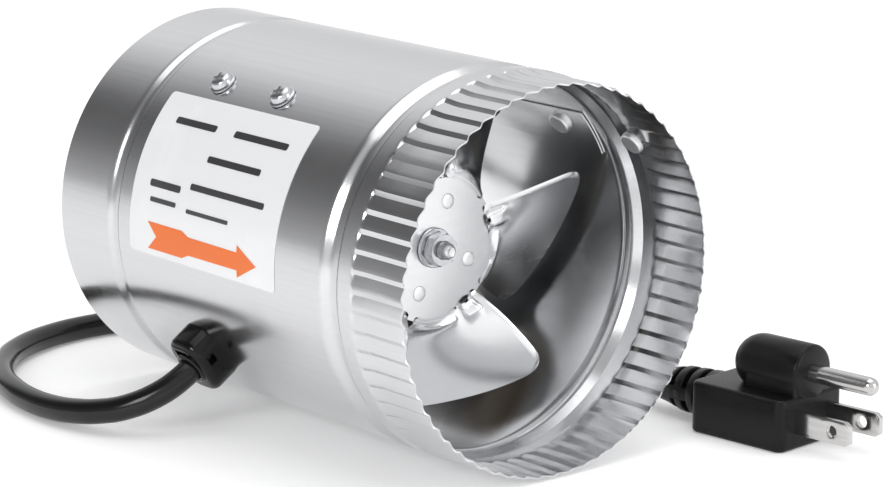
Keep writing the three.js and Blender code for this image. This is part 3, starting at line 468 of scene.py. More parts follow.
# %% The cord as a curve
PLUG_FACE = Vector((93.4, 70.7, 0))
PLUG_TURN = 6
PLUG_LENGTH = 31
RELIEF_LENGTH = 20
RELIEF_HEIGHT = 7
PLUG = GROUND @ Matrix.Translation(PLUG_FACE) @ Matrix.Rotation(math.radians(PLUG_TURN), 4, "Z")


def behind_plug(distance):
    """A point on the strain relief's line, at a distance behind the plug's face."""
    return tuple((PLUG @ Vector((-distance, 0, RELIEF_HEIGHT))) / MM)


relief_back = PLUG_LENGTH + 0.6 + RELIEF_LENGTH
tail_route = [(-40, 50.9, 10.35), (-26, 51.8, 9.5), (-12, 54.4, 7.8), (2, 57.9, 6.1), (14, 60.9, 5.2),
              (25, 63, 5.5), *(behind_plug(relief_back + past) for past in (4, 0, -4))]


cord_points = loop_route + coil_route[1:] + tail_route
cord_data = bpy.data.curves.new("mains_cord", "CURVE")
cord_data.dimensions = "3D"
cord_data.bevel_depth = CORD_RADIUS * MM
cord_data.bevel_resolution = 7
cord_data.resolution_u = 8
cord_data.use_fill_caps = True
spline = cord_data.splines.new("BEZIER")
spline.bezier_points.add(len(cord_points) - 1)
for knot, point in zip(spline.bezier_points, cord_points):
    knot.co = GROUND @ Vector(point)
    knot.handle_left_type = knot.handle_right_type = "AUTO"
cord_data.materials.append(cord_pvc)
cord = bpy.data.objects.new("mains_cord", cord_data)
bpy.context.scene.collection.objects.link(cord)
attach(cord, "housing")
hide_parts("cord_near", "cord_coil", "cord_far")
print(f"{len(cord_points)} points, {spline.calc_length() / MM:.0f} mm long")

# %% [markdown]
# ## The cable tie
# A strap of nylon holds the coil together. Its loop starts as a flat rectangle whose corners are
# bevelled round; its rim is then pulled into a band, and the band is given its thickness.

# %% A rounded rectangle, and the tie made from it
def rounded_rectangle(length, width, corner, segments=5):
    """One flat face in X and Y with round corners."""
    bm = bmesh.new()
    bmesh.ops.create_grid(bm, x_segments=1, y_segments=1, size=0.5)
    bmesh.ops.scale(bm, vec=(length, width, 1), verts=bm.verts)
    bmesh.ops.bevel(bm, geom=list(bm.verts), offset=corner, segments=segments, profile=0.5,
                    affect="VERTICES", material=-1)
    return bm


def pull_up(bm, height):
    """Gives a flat outline its height, and returns the faces on top."""
    top = push(bm, bmesh.ops.extrude_face_region(bm, geom=list(bm.faces), use_keep_orig=True), z=height)
    bmesh.ops.recalc_face_normals(bm, faces=bm.faces)
    return [face for face in bm.faces if all(v in top for v in face.verts)]


TIE_WIDTH = 4.6
BAND_INNER, BAND_OUTER = 28.2, 48.6
section_length, section_height = BAND_OUTER - BAND_INNER, 2 * CORD_RADIUS + LAYER + 2 * TIE_THICK + 0.4
band = rounded_rectangle(section_length, section_height, 3.6)
pull_up(band, TIE_WIDTH)
bmesh.ops.delete(band, geom=[face for face in band.faces if len(face.verts) > 4], context="FACES_ONLY")
bmesh.ops.recalc_face_normals(band, faces=band.faces)
bmesh.ops.solidify(band, geom=list(band.faces), thickness=TIE_THICK)
join(band, block((4.2, 6.4, 6.2), (section_length / 2 + 1.6, 1.5, TIE_WIDTH / 2), 0.8, 3))
join(band, block((1.1, 7, 3.6), (section_length / 2 + 2.2, 7.4, TIE_WIDTH / 2), 0.3))
tie_place = (GROUND
             @ Matrix.Translation((coil_centre.x, coil_centre.y, section_height / 2 + 0.05))
             @ Matrix.Rotation(math.radians(TIE_ANGLE), 4, "Z")
             @ Matrix.Translation(((BAND_INNER + BAND_OUTER) / 2, TIE_WIDTH / 2, 0))
             @ Matrix.Rotation(math.radians(90), 4, "X"))
tie = finish_piece("cable_tie", band, tie_place, tie_plastic)

# %% [markdown]
# ## The plug
# A moulded plug is soft everywhere: its block has generous round edges, and the lobe over the ground
# pin is a domed barrel that sinks into the block. Each is a primitive, bevelled, in the plug's own
# space, where X points out along the pins and zero is the front face.

# %% The plug's moulding
PLUG_WIDTH, PLUG_HEIGHT, OFF_GROUND = 26, 14, 0.05
LOBE_RADIUS, LOBE_LENGTH, LOBE_HEIGHT = 7.5, 24, 19.4
RIM_ANGLE = 1.2
moulding = rounded_rectangle(PLUG_LENGTH, PLUG_WIDTH, 2.6, 6)
pull_up(moulding, PLUG_HEIGHT - OFF_GROUND)
shift(moulding, x=-PLUG_LENGTH / 2, z=OFF_GROUND)
rims = [e for e in moulding.edges if e.is_manifold and e.calc_face_angle(0) > RIM_ANGLE]
bmesh.ops.bevel(moulding, geom=rims, offset=1.1, segments=4, profile=0.5, affect="EDGES", material=-1)
dome = [(LOBE_RADIUS - LOBE_LENGTH - LOBE_RADIUS * math.cos(math.radians(a)),
         LOBE_RADIUS * math.sin(math.radians(a))) for a in range(10, 91, 10)]
barrel = turned([(-LOBE_LENGTH, 0), *dome, (-0.9, LOBE_RADIUS), (-0.25, LOBE_RADIUS - 0.25),
                 (0, LOBE_RADIUS - 0.9), (0, 0)], 40)
join(moulding, shift(barrel, z=LOBE_HEIGHT))
join(moulding, block((LOBE_LENGTH - LOBE_RADIUS - 0.5, 2 * LOBE_RADIUS - 0.4, LOBE_HEIGHT - PLUG_HEIGHT + 3),
                     (-(LOBE_LENGTH - LOBE_RADIUS) / 2 - 0.2, 0, (LOBE_HEIGHT + PLUG_HEIGHT - 3) / 2), 0.4))
plug_body = finish_piece("plug_moulding", moulding, PLUG, plug_pvc, nodes=["plug_body"],
                         sharp=50)

# %% [markdown]
# The strain relief is a soft tail with slots across it, so that it bends in a gentle arc when the cord
# is pulled sideways. Turned from one profile, its slots become grooves; two bars along its sides join
# the rings again, as the moulding does.

# %% The strain relief
ring_profile = [
    (-1, 0), (-1, 6.9), (2.2, 6.8), (2.6, 6.5), (2.7, 4.6), (4.3, 4.6), (4.4, 6.3), (4.7, 6.6), (6.7, 6.5),
    (7.1, 6.2), (7.2, 4.5), (8.8, 4.5), (8.9, 6.0), (9.2, 6.3), (11.2, 6.2), (11.6, 5.9), (11.7, 4.4),
    (13.1, 4.4), (13.2, 5.4), (13.5, 5.6), (16, 5.0), (19.8, 4.4), (20.3, 4.1), (20.3, 0),
]
relief = turned([(-PLUG_LENGTH - back, radius) for back, radius in ring_profile], 40)
for turn in (0, 180):
    join(relief, roll(block((12, 2.1, 3.4), (-PLUG_LENGTH - 7.2, 5.1, 0), 0.3), turn))
relief_piece = finish_piece("strain_relief", shift(relief, z=RELIEF_HEIGHT), PLUG, plug_pvc,
                            nodes=["plug_strain_relief"])

# %% [markdown]
# The flat blades are stamped from strip, with a hole near the tip and slightly tapered ends. A circle
# bridged to a rounded outline makes a face with a true hole in it. The ground pin is turned, with a
# round nose so that it finds its way into the socket first.

# %% The pins
BLADE_LENGTH, BLADE_WIDTH, BLADE_THICK = 17.5, 6.35, 1.5
BLADE_SPACING, BLADE_HEIGHT, HOLE_AT, HOLE_RADIUS, HOLE_PATCH = 12.7, 7.5, 11.7, 1.6, 7.2
PIN_ROOT, PIN_RADIUS, PIN_LENGTH = 7, 2.4, 20.6
TIP_TAPER, TIP_NARROW, SHOULDER = 1.5, 0.72, 0.86


def edges_at(bm, place):
    """The edges that lie across the blade at one place."""
    return [e for e in bm.edges if all(abs(v.co.x - place) < 1e-4 for v in e.verts)]


def pin_blade():
    """A flat blade in X and Y with a round hole, given its thickness and eased edges."""
    front, rear = HOLE_AT + HOLE_PATCH / 2, HOLE_AT - HOLE_PATCH / 2
    bm = bmesh.new()
    bmesh.ops.create_grid(bm, x_segments=1, y_segments=1, size=0.5)
    bmesh.ops.scale(bm, vec=(HOLE_PATCH, BLADE_WIDTH, 1), verts=bm.verts)
    bmesh.ops.subdivide_edges(bm, edges=bm.edges[:], cuts=5)
    inside = [e for e in bm.edges if not e.is_boundary]
    bmesh.ops.delete(bm, geom=bm.faces[:], context="FACES_ONLY")
    bmesh.ops.delete(bm, geom=inside, context="EDGES")
    bmesh.ops.create_circle(bm, segments=24, radius=HOLE_RADIUS)
    bmesh.ops.bridge_loops(bm, edges=shift(bm, x=HOLE_AT).edges[:])
    for place, end in ((front, BLADE_LENGTH), (rear, -PIN_ROOT)):
        tip = push(bm, bmesh.ops.extrude_edge_only(bm, edges=edges_at(bm, place)), x=end - place)
        if end > 0:
            bmesh.ops.scale(bm, vec=(1, TIP_NARROW, 1), verts=tip)
            along = [e for e in bm.edges if sum(v in tip for v in e.verts) == 1]
            for part in bmesh.ops.subdivide_edges(bm, edges=along, cuts=1)["geom_inner"]:
                if isinstance(part, bmesh.types.BMVert):
                    part.co.x = end - TIP_TAPER
                    part.co.y /= SHOULDER
    bmesh.ops.recalc_face_normals(bm, faces=bm.faces)
    bmesh.ops.solidify(bm, geom=bm.faces[:], thickness=BLADE_THICK)
    shift(bm, z=-sum(v.co.z for v in bm.verts) / len(bm.verts))
    bmesh.ops.recalc_face_normals(bm, faces=bm.faces)
    round_edges(bm, 0.18, 2, angle=50)
    return bm


for name, side in (("near", -1), ("far", 1)):
    stood = (PLUG @ Matrix.Translation((0, side * BLADE_SPACING / 2, BLADE_HEIGHT))
             @ Matrix.Rotation(math.pi / 2, 4, "X"))
    finish_piece(f"pin_blade_{name}", pin_blade(), stood, nickel_plate,
                             nodes=[f"plug_blade_{name}"])
nose = [(PIN_LENGTH - PIN_RADIUS + PIN_RADIUS * math.sin(math.radians(a)),
         PIN_RADIUS * math.cos(math.radians(a))) for a in range(0, 90, 12)]
round_pin = turned([(-PIN_ROOT, 0), (-PIN_ROOT, PIN_RADIUS), *nose, (PIN_LENGTH, 0)], 32)
finish_piece("ground_pin", shift(round_pin, z=LOBE_HEIGHT), PLUG, nickel_plate,
                         nodes=["plug_ground_pin"])

# %% The cord's parts
print("the cord, its plug and its tie are built")

# %% [markdown]
# ## The tube
# The tube is one rolled sheet, so its wall is drawn once as a closed profile and spun round the axis.
# The two beads are pressed grooves, soft at the rear and straight at the front, where the slope faces the
# light. The spin has eight steps for each crimp, which leaves enough points round the outlet to press
# the crimps in afterwards.

# %% The tube's profile
WALL = 0.55
CRIMP_COUNT, STEPS_PER_CRIMP = 63, 8
CRIMP_START = TUBE_LENGTH - 19.4
CRIMP_DEPTH, CRIMP_SINK, CRIMP_STEEP = 0.6, 0.6, 0.25
CRIMP_END, SINK_RUN = 1.0, 6
REAR_GROOVE, FRONT_GROOVE = (22, 6, 1.1), (116, 8, 1.8)
REAR_SHOULDER, FRONT_SLOPE = 0.42, 0.33


def groove(start, width, depth, rows=16):
    """Points across a pressed groove: a soft rear shoulder, a flat floor and a straight front slope."""
    points = []
    for i in range(rows + 1):
        share = i / rows
        dip = smooth_step(share / REAR_SHOULDER) * min(1, (1 - share) / FRONT_SLOPE)
        points.append((start + width * share, TUBE_RADIUS - depth * dip))
    return points


def plain(*places):
    """Points of the tube's outside where nothing is pressed."""
    return [(along, TUBE_RADIUS) for along in places]


crimp_rows = [CRIMP_START + step for step in (0, 0.25, 0.5, 0.75, 1, 2.2, 4, 6, 12, 18.9)]
skin = [*plain(0, 8, 16, 21), *groove(*REAR_GROOVE), *plain(29, 45, 72, 98, 115), *groove(*FRONT_GROOVE),
        *plain(125, 127.6, *crimp_rows), (TUBE_LENGTH, TUBE_RADIUS - 0.08)]
lining = [(along, distance - WALL) for along, distance in reversed(skin)]
lining[0] = (TUBE_LENGTH, TUBE_RADIUS - WALL + 0.06)
tube = turned(closed(skin + lining), CRIMP_COUNT * STEPS_PER_CRIMP)
print(len(skin), "rows along the tube,", CRIMP_COUNT * STEPS_PER_CRIMP, "steps round it")

# %% [markdown]
# A crimping tool folds the last part of the tube into small one-sided pleats, so that it slips inside
# the next duct. Each pleat drops steeply and climbs back slowly, which is why one side of each catches
# the light. The whole end also sinks a little, over a longer run than the pleats' own short ends. The
# rim, no longer straight, waves a little in and out.

# %% Press the crimps
RIM_RUN, RIM_WAVE, RIM_TRIM = 3, 0.22, 0.25
for vert in tube.verts:
    past = vert.co.x - CRIMP_START
    if past > 0:
        angle = math.degrees(math.atan2(vert.co.z, vert.co.y))
        share = (angle + 0.1) * CRIMP_COUNT / 360 % 1
        fold = share / CRIMP_STEEP if share < CRIMP_STEEP else (1 - share) / (1 - CRIMP_STEEP)
        inward = CRIMP_SINK * smooth_step(past / SINK_RUN) + CRIMP_DEPTH * fold * smooth_step(past / CRIMP_END)
        shorter = 1 - inward / math.hypot(vert.co.y, vert.co.z)
        vert.co.y *= shorter
        vert.co.z *= shorter
        rim = smooth_step((vert.co.x - TUBE_LENGTH + RIM_RUN) / RIM_RUN)
        vert.co.x += rim * (RIM_WAVE * math.sin(math.radians(angle * CRIMP_COUNT)) - RIM_TRIM)
print(CRIMP_COUNT, "crimps pressed")

# %% [markdown]
# Where the sheet's two edges overlap, the inner one shows as a strip that runs along the inside. It is
# a flat grid bent to the tube's curve; its lower edge isn't quite parallel to the axis, because the
# sheet was cut and rolled by hand.

# %% The lapped seam
SEAM_START, SEAM_INSIDE, SEAM_OUTSIDE = 29.2, 84.3, 86
SEAM_EDGE, SEAM_SLANT, SEAM_TOP, SEAM_OUTER_EDGE = 30.8, 5.4, 41.5, 27


def bent(bm, distance, start_angle=0.0):
    """Bends a flat piece in X and Y round the tube: Y becomes the way round, in millimetres."""
    for vert in bm.verts:
        angle = math.radians(start_angle) + vert.co.y / TUBE_RADIUS
        radius = distance + vert.co.z
        vert.co.y, vert.co.z = radius * math.cos(angle), radius * math.sin(angle)


def seam_strip(columns, rows, length, low_edge, droop, thickness, distance):
    """A strip from a low edge, which may slant, up to the seam's top, joined to the tube."""
    strip = bmesh.new()
    bmesh.ops.create_grid(strip, x_segments=columns, y_segments=rows, size=0.5)
    for vert in strip.verts:
        share, over = vert.co.x + 0.5, vert.co.y + 0.5
        low = low_edge(share)
        vert.co = (SEAM_START + length * share, math.radians(low + (SEAM_TOP - low) * over) * TUBE_RADIUS,
                   -droop * (1 - over))
    bmesh.ops.solidify(strip, geom=strip.faces[:], thickness=thickness)
    bent(strip, distance)
    join(tube, strip)


seam_strip(12, 18, SEAM_INSIDE, lambda share: SEAM_EDGE - SEAM_SLANT * share, 0, 0.4, TUBE_RADIUS - WALL - 0.2)
seam_strip(10, 12, SEAM_OUTSIDE, lambda share: SEAM_OUTER_EDGE, 0.35, 0.3, TUBE_RADIUS + 0.12)
tube_piece = finish_piece("tube", tube, FAN, galvanised, nodes=["casing"], sharp=24)

# %% [markdown]
# The sheet inside, behind the front bead, isn't handled, so its rolling lines are coarser and have no relief.
# Its colour is painted paler than the outside: painted light for the brightness that the tube's inside shows.
# Faces that look at the axis get this second finish.

# %% The lining's finish, painted paler as painted light
tube_piece.data.materials.append(lining_painted_light)
LINING_END = 115
axis = Vector((0, AXIS_HEIGHT))
inward = 0
for face in tube_piece.data.polygons:
    out = face.center.yz - axis
    if (face.center.x - tube_low.x < LINING_END * MM and out.length < (TUBE_RADIUS - WALL / 2) * MM
            and face.normal.yz.dot(out) < 0):
        face.material_index = 1
        inward += 1
print(inward, "faces are lining")

# %% [markdown]
# ## The rating label
# A thin glossy film is stuck to the tube. Its outline is a rounded rectangle, sliced into narrow strips
# by planes so that it can bend, and then bent round the tube. What is printed on it is only suggested:
# dark bars stand where lines of small type would be, and an arrow shows the way the air goes.

# %% Film and paint for the label
LABEL_START, LABEL_LENGTH, LABEL_FROM, LABEL_TO = 33.4, 64.6, 134.6, 185


def way_round(angle):
    """Millimetres round the tube from the label's first edge, for an angle in degrees."""
    return math.radians(angle - LABEL_FROM) * TUBE_RADIUS


def slice_for_bending(bm, step=1.5):
    """Cuts a flat piece across Y at even steps."""
    low = min(v.co.y for v in bm.verts)
    high = max(v.co.y for v in bm.verts)
    cuts = int((high - low) / step)
    for i in range(1, cuts + 1):
        bmesh.ops.bisect_plane(bm, geom=bm.verts[:] + bm.edges[:] + bm.faces[:], dist=1e-5,
                               plane_co=(0, low + (high - low) * i / (cuts + 1), 0), plane_no=(0, 1, 0))


def stick(name, bm, distance, material, nodes=()):
    """Bends a flat print round the tube, at a distance from its skin."""
    bent(bm, TUBE_RADIUS + distance, LABEL_FROM)
    finish_piece(name, bm, FAN, material, nodes=nodes, sharp=60)


label_film = plastic("label_film", (0.80, 0.805, 0.81), 0.2, 500, 0.01, 0.06, coat=0.3, pale=1.04)
arrow_ink = plastic("arrow_ink", (0.80, 0.15, 0.006), 0.3, 500, 0.01, 0.05, coat=0.05, pale=1.06)
print_ink = plastic("print_ink", (0.035, 0.035, 0.04), 0.28, 500, 0.01, 0.05, coat=0.3)
film = rounded_rectangle(LABEL_LENGTH, way_round(LABEL_TO), 1.2, 4)
slice_for_bending(shift(film, LABEL_START + LABEL_LENGTH / 2, way_round(LABEL_TO) / 2))
bmesh.ops.solidify(film, geom=film.faces[:], thickness=0.09)
stick("label_film", film, 0.12, label_film, nodes=["label"])

# %% The arrow and the bars
def flat_outline(points):
    """One face from a flat outline."""
    bm = bmesh.new()
    bm.faces.new([bm.verts.new((x, y, 0)) for x, y in points])
    return bm


half_arrow = [(57.5, 3.6), (60.5, 2.4), (82, 2.3), (82, 4.2)]
arrow = flat_outline([(46, 0), (42, 3.6), *half_arrow, (90.3, 0),
                      *[(x, -y) for x, y in reversed(half_arrow)], (42, -3.6)])
slice_for_bending(shift(arrow, y=way_round(179)), 1.2)
bmesh.ops.triangulate(arrow, faces=arrow.faces[:])
bmesh.ops.solidify(arrow, geom=arrow.faces[:], thickness=0.05)
stick("label_arrow", arrow, 0.18, arrow_ink)

# Each bar: left end, right end, angle round the tube, height.
bars = [(42, 60, 143.4, 1.9), (68, 91, 143.4, 1.9), (62, 85, 152.6, 1.8), (58.5, 90.5, 161.6, 1.7),
        (58.5, 77, 168.9, 1.1), (40.8, 54.5, 163.4, 1.9), (42, 53.6, 168.2, 1.3), (64, 80, 179, 1.3)]
printing = bmesh.new()
for left, right, angle, tall in bars:
    bar = shift(rounded_rectangle(right - left, tall, tall * 0.3, 3), (left + right) / 2, way_round(angle))
    slice_for_bending(bar, 0.7)
    bmesh.ops.solidify(bar, geom=bar.faces[:], thickness=0.04)
    join(printing, bar)
stick("label_bars", printing, 0.21, print_ink)

# %% [markdown]
# ## Screws and rivets in the tube
# Pan-head screws hold the motor from outside. A head is turned, with a flange under it; the cross recess is a
# plus-shaped piece let into the top, coloured dark as painted shade for the recess. Rivets close the seam: a
# low dome outside and a flattened disc with a short stem inside.

# %% The bracket screws
SCREW_ALONG = {"rear": 49.9, "front": 76.1}
MOTOR_ANGLE = 128.2
PAN_FOOT, PAN_HEIGHT, PAN_RADIUS, PAN_FLANGE = TUBE_RADIUS + 0.12, 2.5, 3.1, 3.65
CROSS_REACH, CROSS_HALF, CROSS_DEPTH, CROSS_TURN = 1.55, 0.42, 0.9, 20


def pan_head():
    """A pan head with its flange and its shank, turned about X."""
    head = turned(from_base(
        PAN_FOOT, (0, 0), (0, PAN_FLANGE), (0.45, PAN_FLANGE), (0.6, PAN_FLANGE - 0.2), (0.7, PAN_RADIUS),
        (PAN_HEIGHT * 0.62, PAN_RADIUS - 0.15), (PAN_HEIGHT * 0.86, PAN_RADIUS - 0.7),
        (PAN_HEIGHT - 0.06, PAN_RADIUS - 1.4), (PAN_HEIGHT, PAN_RADIUS - 1.9), (PAN_HEIGHT, 0)), 40)
    join(head, turned([(41.9, 0), (41.9, 1.6), (42.3, 2), (TUBE_RADIUS + 0.3, 2), (TUBE_RADIUS + 0.3, 0)], 24))
    return head


def cross_recess():
    """A plus shape let into the top of a pan head."""
    arm = [(CROSS_HALF, CROSS_HALF), (CROSS_HALF, CROSS_REACH), (-CROSS_HALF, CROSS_REACH)]
    cross = flat_outline([(x * c - y * s, x * s + y * c)
                          for c, s in ((1, 0), (0, 1), (-1, 0), (0, -1)) for x, y in arm])
    bmesh.ops.rotate(cross, matrix=Matrix.Rotation(math.pi / 2, 3, "Y"), verts=cross.verts)
    shift(cross, x=PAN_FOOT + PAN_HEIGHT + 0.03)
    push(cross, bmesh.ops.extrude_face_region(cross, geom=cross.faces[:], use_keep_orig=True), x=-CROSS_DEPTH)
    bmesh.ops.triangulate(cross, faces=cross.faces[:])
    return roll(cross, CROSS_TURN)


# The cross is painted dark: painted shade for the depth of the recess.
recess_painted_shade = metal("recess_painted_shade", (0.26, 0.26, 0.27), 0.3)
for end, along in SCREW_ALONG.items():
    place = upright(along, MOTOR_ANGLE) @ STAND
    finish_piece(f"pan_screw_{end}", pan_head(), place, zinc_plate, nodes=[f"bracket_screw_{end}"])
    finish_piece(f"pan_screw_{end}_cross", cross_recess(), place, recess_painted_shade)

# %% The seam rivets
SEAM_ANGLE, RIVET_FIRST, RIVET_STEP, RIVET_SINK = 35.5, 14, 29.35, 1.3
for i in range(5):
    along = RIVET_FIRST + RIVET_STEP * i
    out = TUBE_RADIUS - (RIVET_SINK if along > CRIMP_START - 2 else 0)
    disc = from_base(out - WALL - 0.5, (-1.5, 0), (-1.5, 2.6), (-1.5, 2.7), (-1.35, 3.0), (-1.1, 3.15),
                     (-0.7, 3.25), (-0.1, 3.3), (-0.1, 1.6))
    dome = from_base(out, (0.1, 1.6), (0.1, 3.2), (0.45, 3.0), (0.85, 2.3), (1.1, 1.3), (1.15, 0))
    finish_piece(f"seam_rivet_{i + 1}_set", turned(disc + dome, 32), upright(along, SEAM_ANGLE) @ STAND,
                 rivet_metal, nodes=[f"seam_rivet_{i + 1}"])

# %% [markdown]
# ## The impeller
# Five blades are cut and twisted out of one round sheet, so hub and blades share a surface. A blade
# starts as a flat grid. Each point's two grid numbers become a distance and an angle from the blade's
# middle, and the sheet climbs with the angle, more so towards the tip. That is the propeller's pitch.

# %% A blade from a grid
HUB_PLANE, HUB_RADIUS, TIP_RADIUS, SHEET = 98, 20, 45.5, 0.9
BLADE_MIDDLE, BLADE_COUNT = -4.6, 5
BLADE_LEVEL, BLADE_PITCH, BLADE_TWIST = 6, 0.516, 0.75
BLADE_REAR, BLADE_FRONT, BLADE_TAPER, TIP_CORNER, TIP_BOW = -31, 32, 4.5, 5, 1.1
ROOT_PRESS, GUSSET_PRESS = 0.7, 1.1
ROWS = [18.6, 19.4, 20.2, 20.9, 21.5, 22.1, 22.8, 24, 26, 29, 32.5, 36, 39.5,
        41.4, 42.6, 43.6, 44.3, 44.8, 45.2, 45.5]
COLUMNS = 40


def between(value, low, high, low_run, high_run):
    """1 between two limits, with soft runs at both."""
    return smooth_step((value - low) / low_run) * smooth_step((high - value) / high_run)


def blade_at(distance, degrees):
    """A point of the blade's middle surface in the fan's space."""
    reach = max(0, (distance - HUB_RADIUS) / (TIP_RADIUS - HUB_RADIUS))
    climb = BLADE_PITCH * (degrees - BLADE_LEVEL) * reach ** BLADE_TWIST
    root = math.exp(-(((distance - 21.6) / 0.9) ** 2)) * between(degrees, -30, 10, 5, 5)
    gusset = between(degrees, 14, 28, 3, 3) * smooth_step((24.6 - distance) / 2.4)
    across, rise = around(BLADE_MIDDLE + degrees, distance)
    return Vector((HUB_PLANE + climb + ROOT_PRESS * root + GUSSET_PRESS * gusset, across, rise))


def blade(turn):
    """One blade: a grid moved to its place, then given the sheet's thickness."""
    bm = bmesh.new()
    bmesh.ops.create_grid(bm, x_segments=len(ROWS) - 1, y_segments=COLUMNS, size=0.5)
    for vert in bm.verts:
        row = ROWS[round((vert.co.x + 0.5) * (len(ROWS) - 1))]
        over = vert.co.y + 0.5
        reach = max(0, (row - HUB_RADIUS) / (TIP_RADIUS - HUB_RADIUS))
        past = max(0, row - (TIP_RADIUS - TIP_CORNER))
        cut = math.degrees((TIP_CORNER - math.sqrt(TIP_CORNER ** 2 - past ** 2 * 0.995)) / row)
        rear = BLADE_REAR + BLADE_TAPER * reach ** 0.35 + cut
        front = BLADE_FRONT - BLADE_TAPER * reach - cut
        degrees = rear + (front - rear) * over
        bow = TIP_BOW * (1 - min(1, abs(degrees) / 26) ** 1.5) * reach ** 3
        vert.co = blade_at(row - bow, degrees)
    bmesh.ops.solidify(bm, geom=bm.faces[:], thickness=SHEET)
    return roll(shift(bm, x=SHEET / 2), turn)


disc = from_base(HUB_PLANE, (-SHEET / 2, 2.6), (-SHEET / 2, HUB_RADIUS - 0.1), (0, HUB_RADIUS),
                 (SHEET / 2, HUB_RADIUS - 0.1), (SHEET / 2, 2.6))
impeller = turned(closed(disc), 90)
for i in range(BLADE_COUNT):
    join(impeller, blade(i * 360 / BLADE_COUNT))
finish_piece("impeller_sheet", impeller, FAN, rolled_aluminium, body="turning", nodes=["impeller"],
             sharp=40)

# %% [markdown]
# The sheet is held by a washer and a nut on the shaft's threaded end, and by four rivets to the collar
# behind it. A nut is turned first; its six sides are then made by pressing every point that lies beyond
# one of them straight back to it. The thread is a row of small ridges in the shaft's profile.

# %% The hub's fastenings
def hexagon_nut(low, high, across, bore):
    """A nut about the X axis, with a true bore and its corners turned off."""
    corner = across / math.sqrt(3)
    nut = turned(closed([(low, bore), (low, corner - 0.5), (low + 0.35, corner), (high - 0.35, corner),
                         (high, corner - 0.5), (high, bore + 0.3), (high - 0.3, bore)]), 36)
    for k in range(6):
        across_flat = Vector((0, *around(60 * k + 30, 1)))
        for vert in nut.verts:
            past = vert.co.dot(across_flat) - across / 2
            if past > 0:
                vert.co -= past * across_flat
    return nut


def turning_piece(name, bm, material, node, sharp=38):
    """A finished piece that turns with the impeller."""
    finish_piece(name, bm, FAN, material, body="turning", nodes=[node], sharp=sharp)


HUB_FRONT = HUB_PLANE + SHEET / 2
WASHER_THICK, NUT_TURN = 1.1, 12
washer = turned(closed(from_base(HUB_FRONT, (0.1, 2.5), (0.1, 5.2), (0.25, 5.3), (WASHER_THICK - 0.2, 5.3),
                                 (WASHER_THICK, 5.1), (WASHER_THICK, 2.5))), 40)
turning_piece("hub_washer", washer, zinc_plate, "impeller_washer")
nut_foot = HUB_FRONT + WASHER_THICK
turning_piece("hub_nut", roll(hexagon_nut(nut_foot + 0.1, nut_foot + 3.3, 8, 2.25), NUT_TURN), zinc_plate,
              "impeller_nut", sharp=25)

THREAD_START, THREAD_END, THREAD_TURNS = 96.2, HUB_PLANE + 7.6, 13
shaft_profile = [(41, 0), (41, 2), (41.5, 2.5), (95.8, 2.5), (96, 2.2)]
for i in range(THREAD_TURNS):
    base = THREAD_START + i * (THREAD_END - 0.6 - THREAD_START) / THREAD_TURNS
    shaft_profile += from_base(base, (0, 1.98), (0.35, 2.2))
shaft_profile += from_base(THREAD_END, (-0.5, 1.95), (-0.1, 1.5), (0, 1.3), (-0.3, 0))
turning_piece("threaded_shaft", turned(shaft_profile, 40), ground_steel, "shaft", sharp=30)

HUB_RIVET_ANGLE, HUB_RIVET_DISTANCE = 67.7, 12.6
hub_rivet = (from_base(HUB_PLANE, (-3.6, 0), (-3.6, 1.7), (-3.2, 2.1), (-2.5, 2.1), (-2.5, 1.2))
             + from_base(HUB_FRONT, (0.05, 1.2), (0.05, 2.05), (0.15, 1.95), (0.27, 1.6), (0.34, 0.9),
                         (0.35, 0)))
for i in range(4):
    across, rise = around(HUB_RIVET_ANGLE + 90 * i, HUB_RIVET_DISTANCE)
    turning_piece(f"hub_rivet_{i + 1}_set", shift(turned(hub_rivet, 24), y=across, z=rise), rivet_metal,
                  f"hub_rivet_{i + 1}")

# %% [markdown]
# ## The gland
# The cord passes the sheet-metal wall in a nylon bushing with an oval head. Its sides are nearly
# straight and its top edge is rounded. A pocket beside the cord holds the wedge that grips it, and a
# smaller one is in the side: four cuts mark each pocket on its flat face, and the part between them is
# pushed in.

# %% The gland's head and neck
HEAD_ALONG, HEAD_ROUND, HEAD_HEIGHT, HEAD_FOOT = 13.5, 17, 7, 1.0
GLAND = upright(GLAND_ALONG, GLAND_ANGLE)
head_low = TUBE_RADIUS + 0.1
gland = shift(rounded_rectangle(HEAD_ALONG, HEAD_ROUND, 5.2, 8), z=head_low - HEAD_FOOT)
top = pull_up(gland, HEAD_HEIGHT + HEAD_FOOT)
bmesh.ops.bevel(gland, geom=top[0].edges[:], offset=2.2, segments=7, profile=0.5, affect="EDGES", material=-1)
head_top = max(v.co.z for v in gland.verts)
side_x = HEAD_ALONG / 2


def sink_pocket(bm, wanted, cuts, move):
    """Cuts a flat face by four planes, then pushes the part between them in."""
    for co, no in cuts:
        flat = [f for f in bm.faces if wanted(f)]
        parts = flat + [e for f in flat for e in f.edges] + [v for f in flat for v in f.verts]
        bmesh.ops.bisect_plane(bm, geom=list(dict.fromkeys(parts)), dist=1e-5, plane_co=co, plane_no=no)
    chosen = [f for f in bm.faces if wanted(f) and all(
        side * (f.calc_center_median() - Vector(co)).dot(Vector(no)) >= 0
        for side, (co, no) in zip((1, -1, 1, -1), cuts))]
    push(bm, bmesh.ops.extrude_face_region(bm, geom=chosen), *move)
    bmesh.ops.delete(bm, geom=chosen, context="FACES_ONLY")
    return len(chosen)


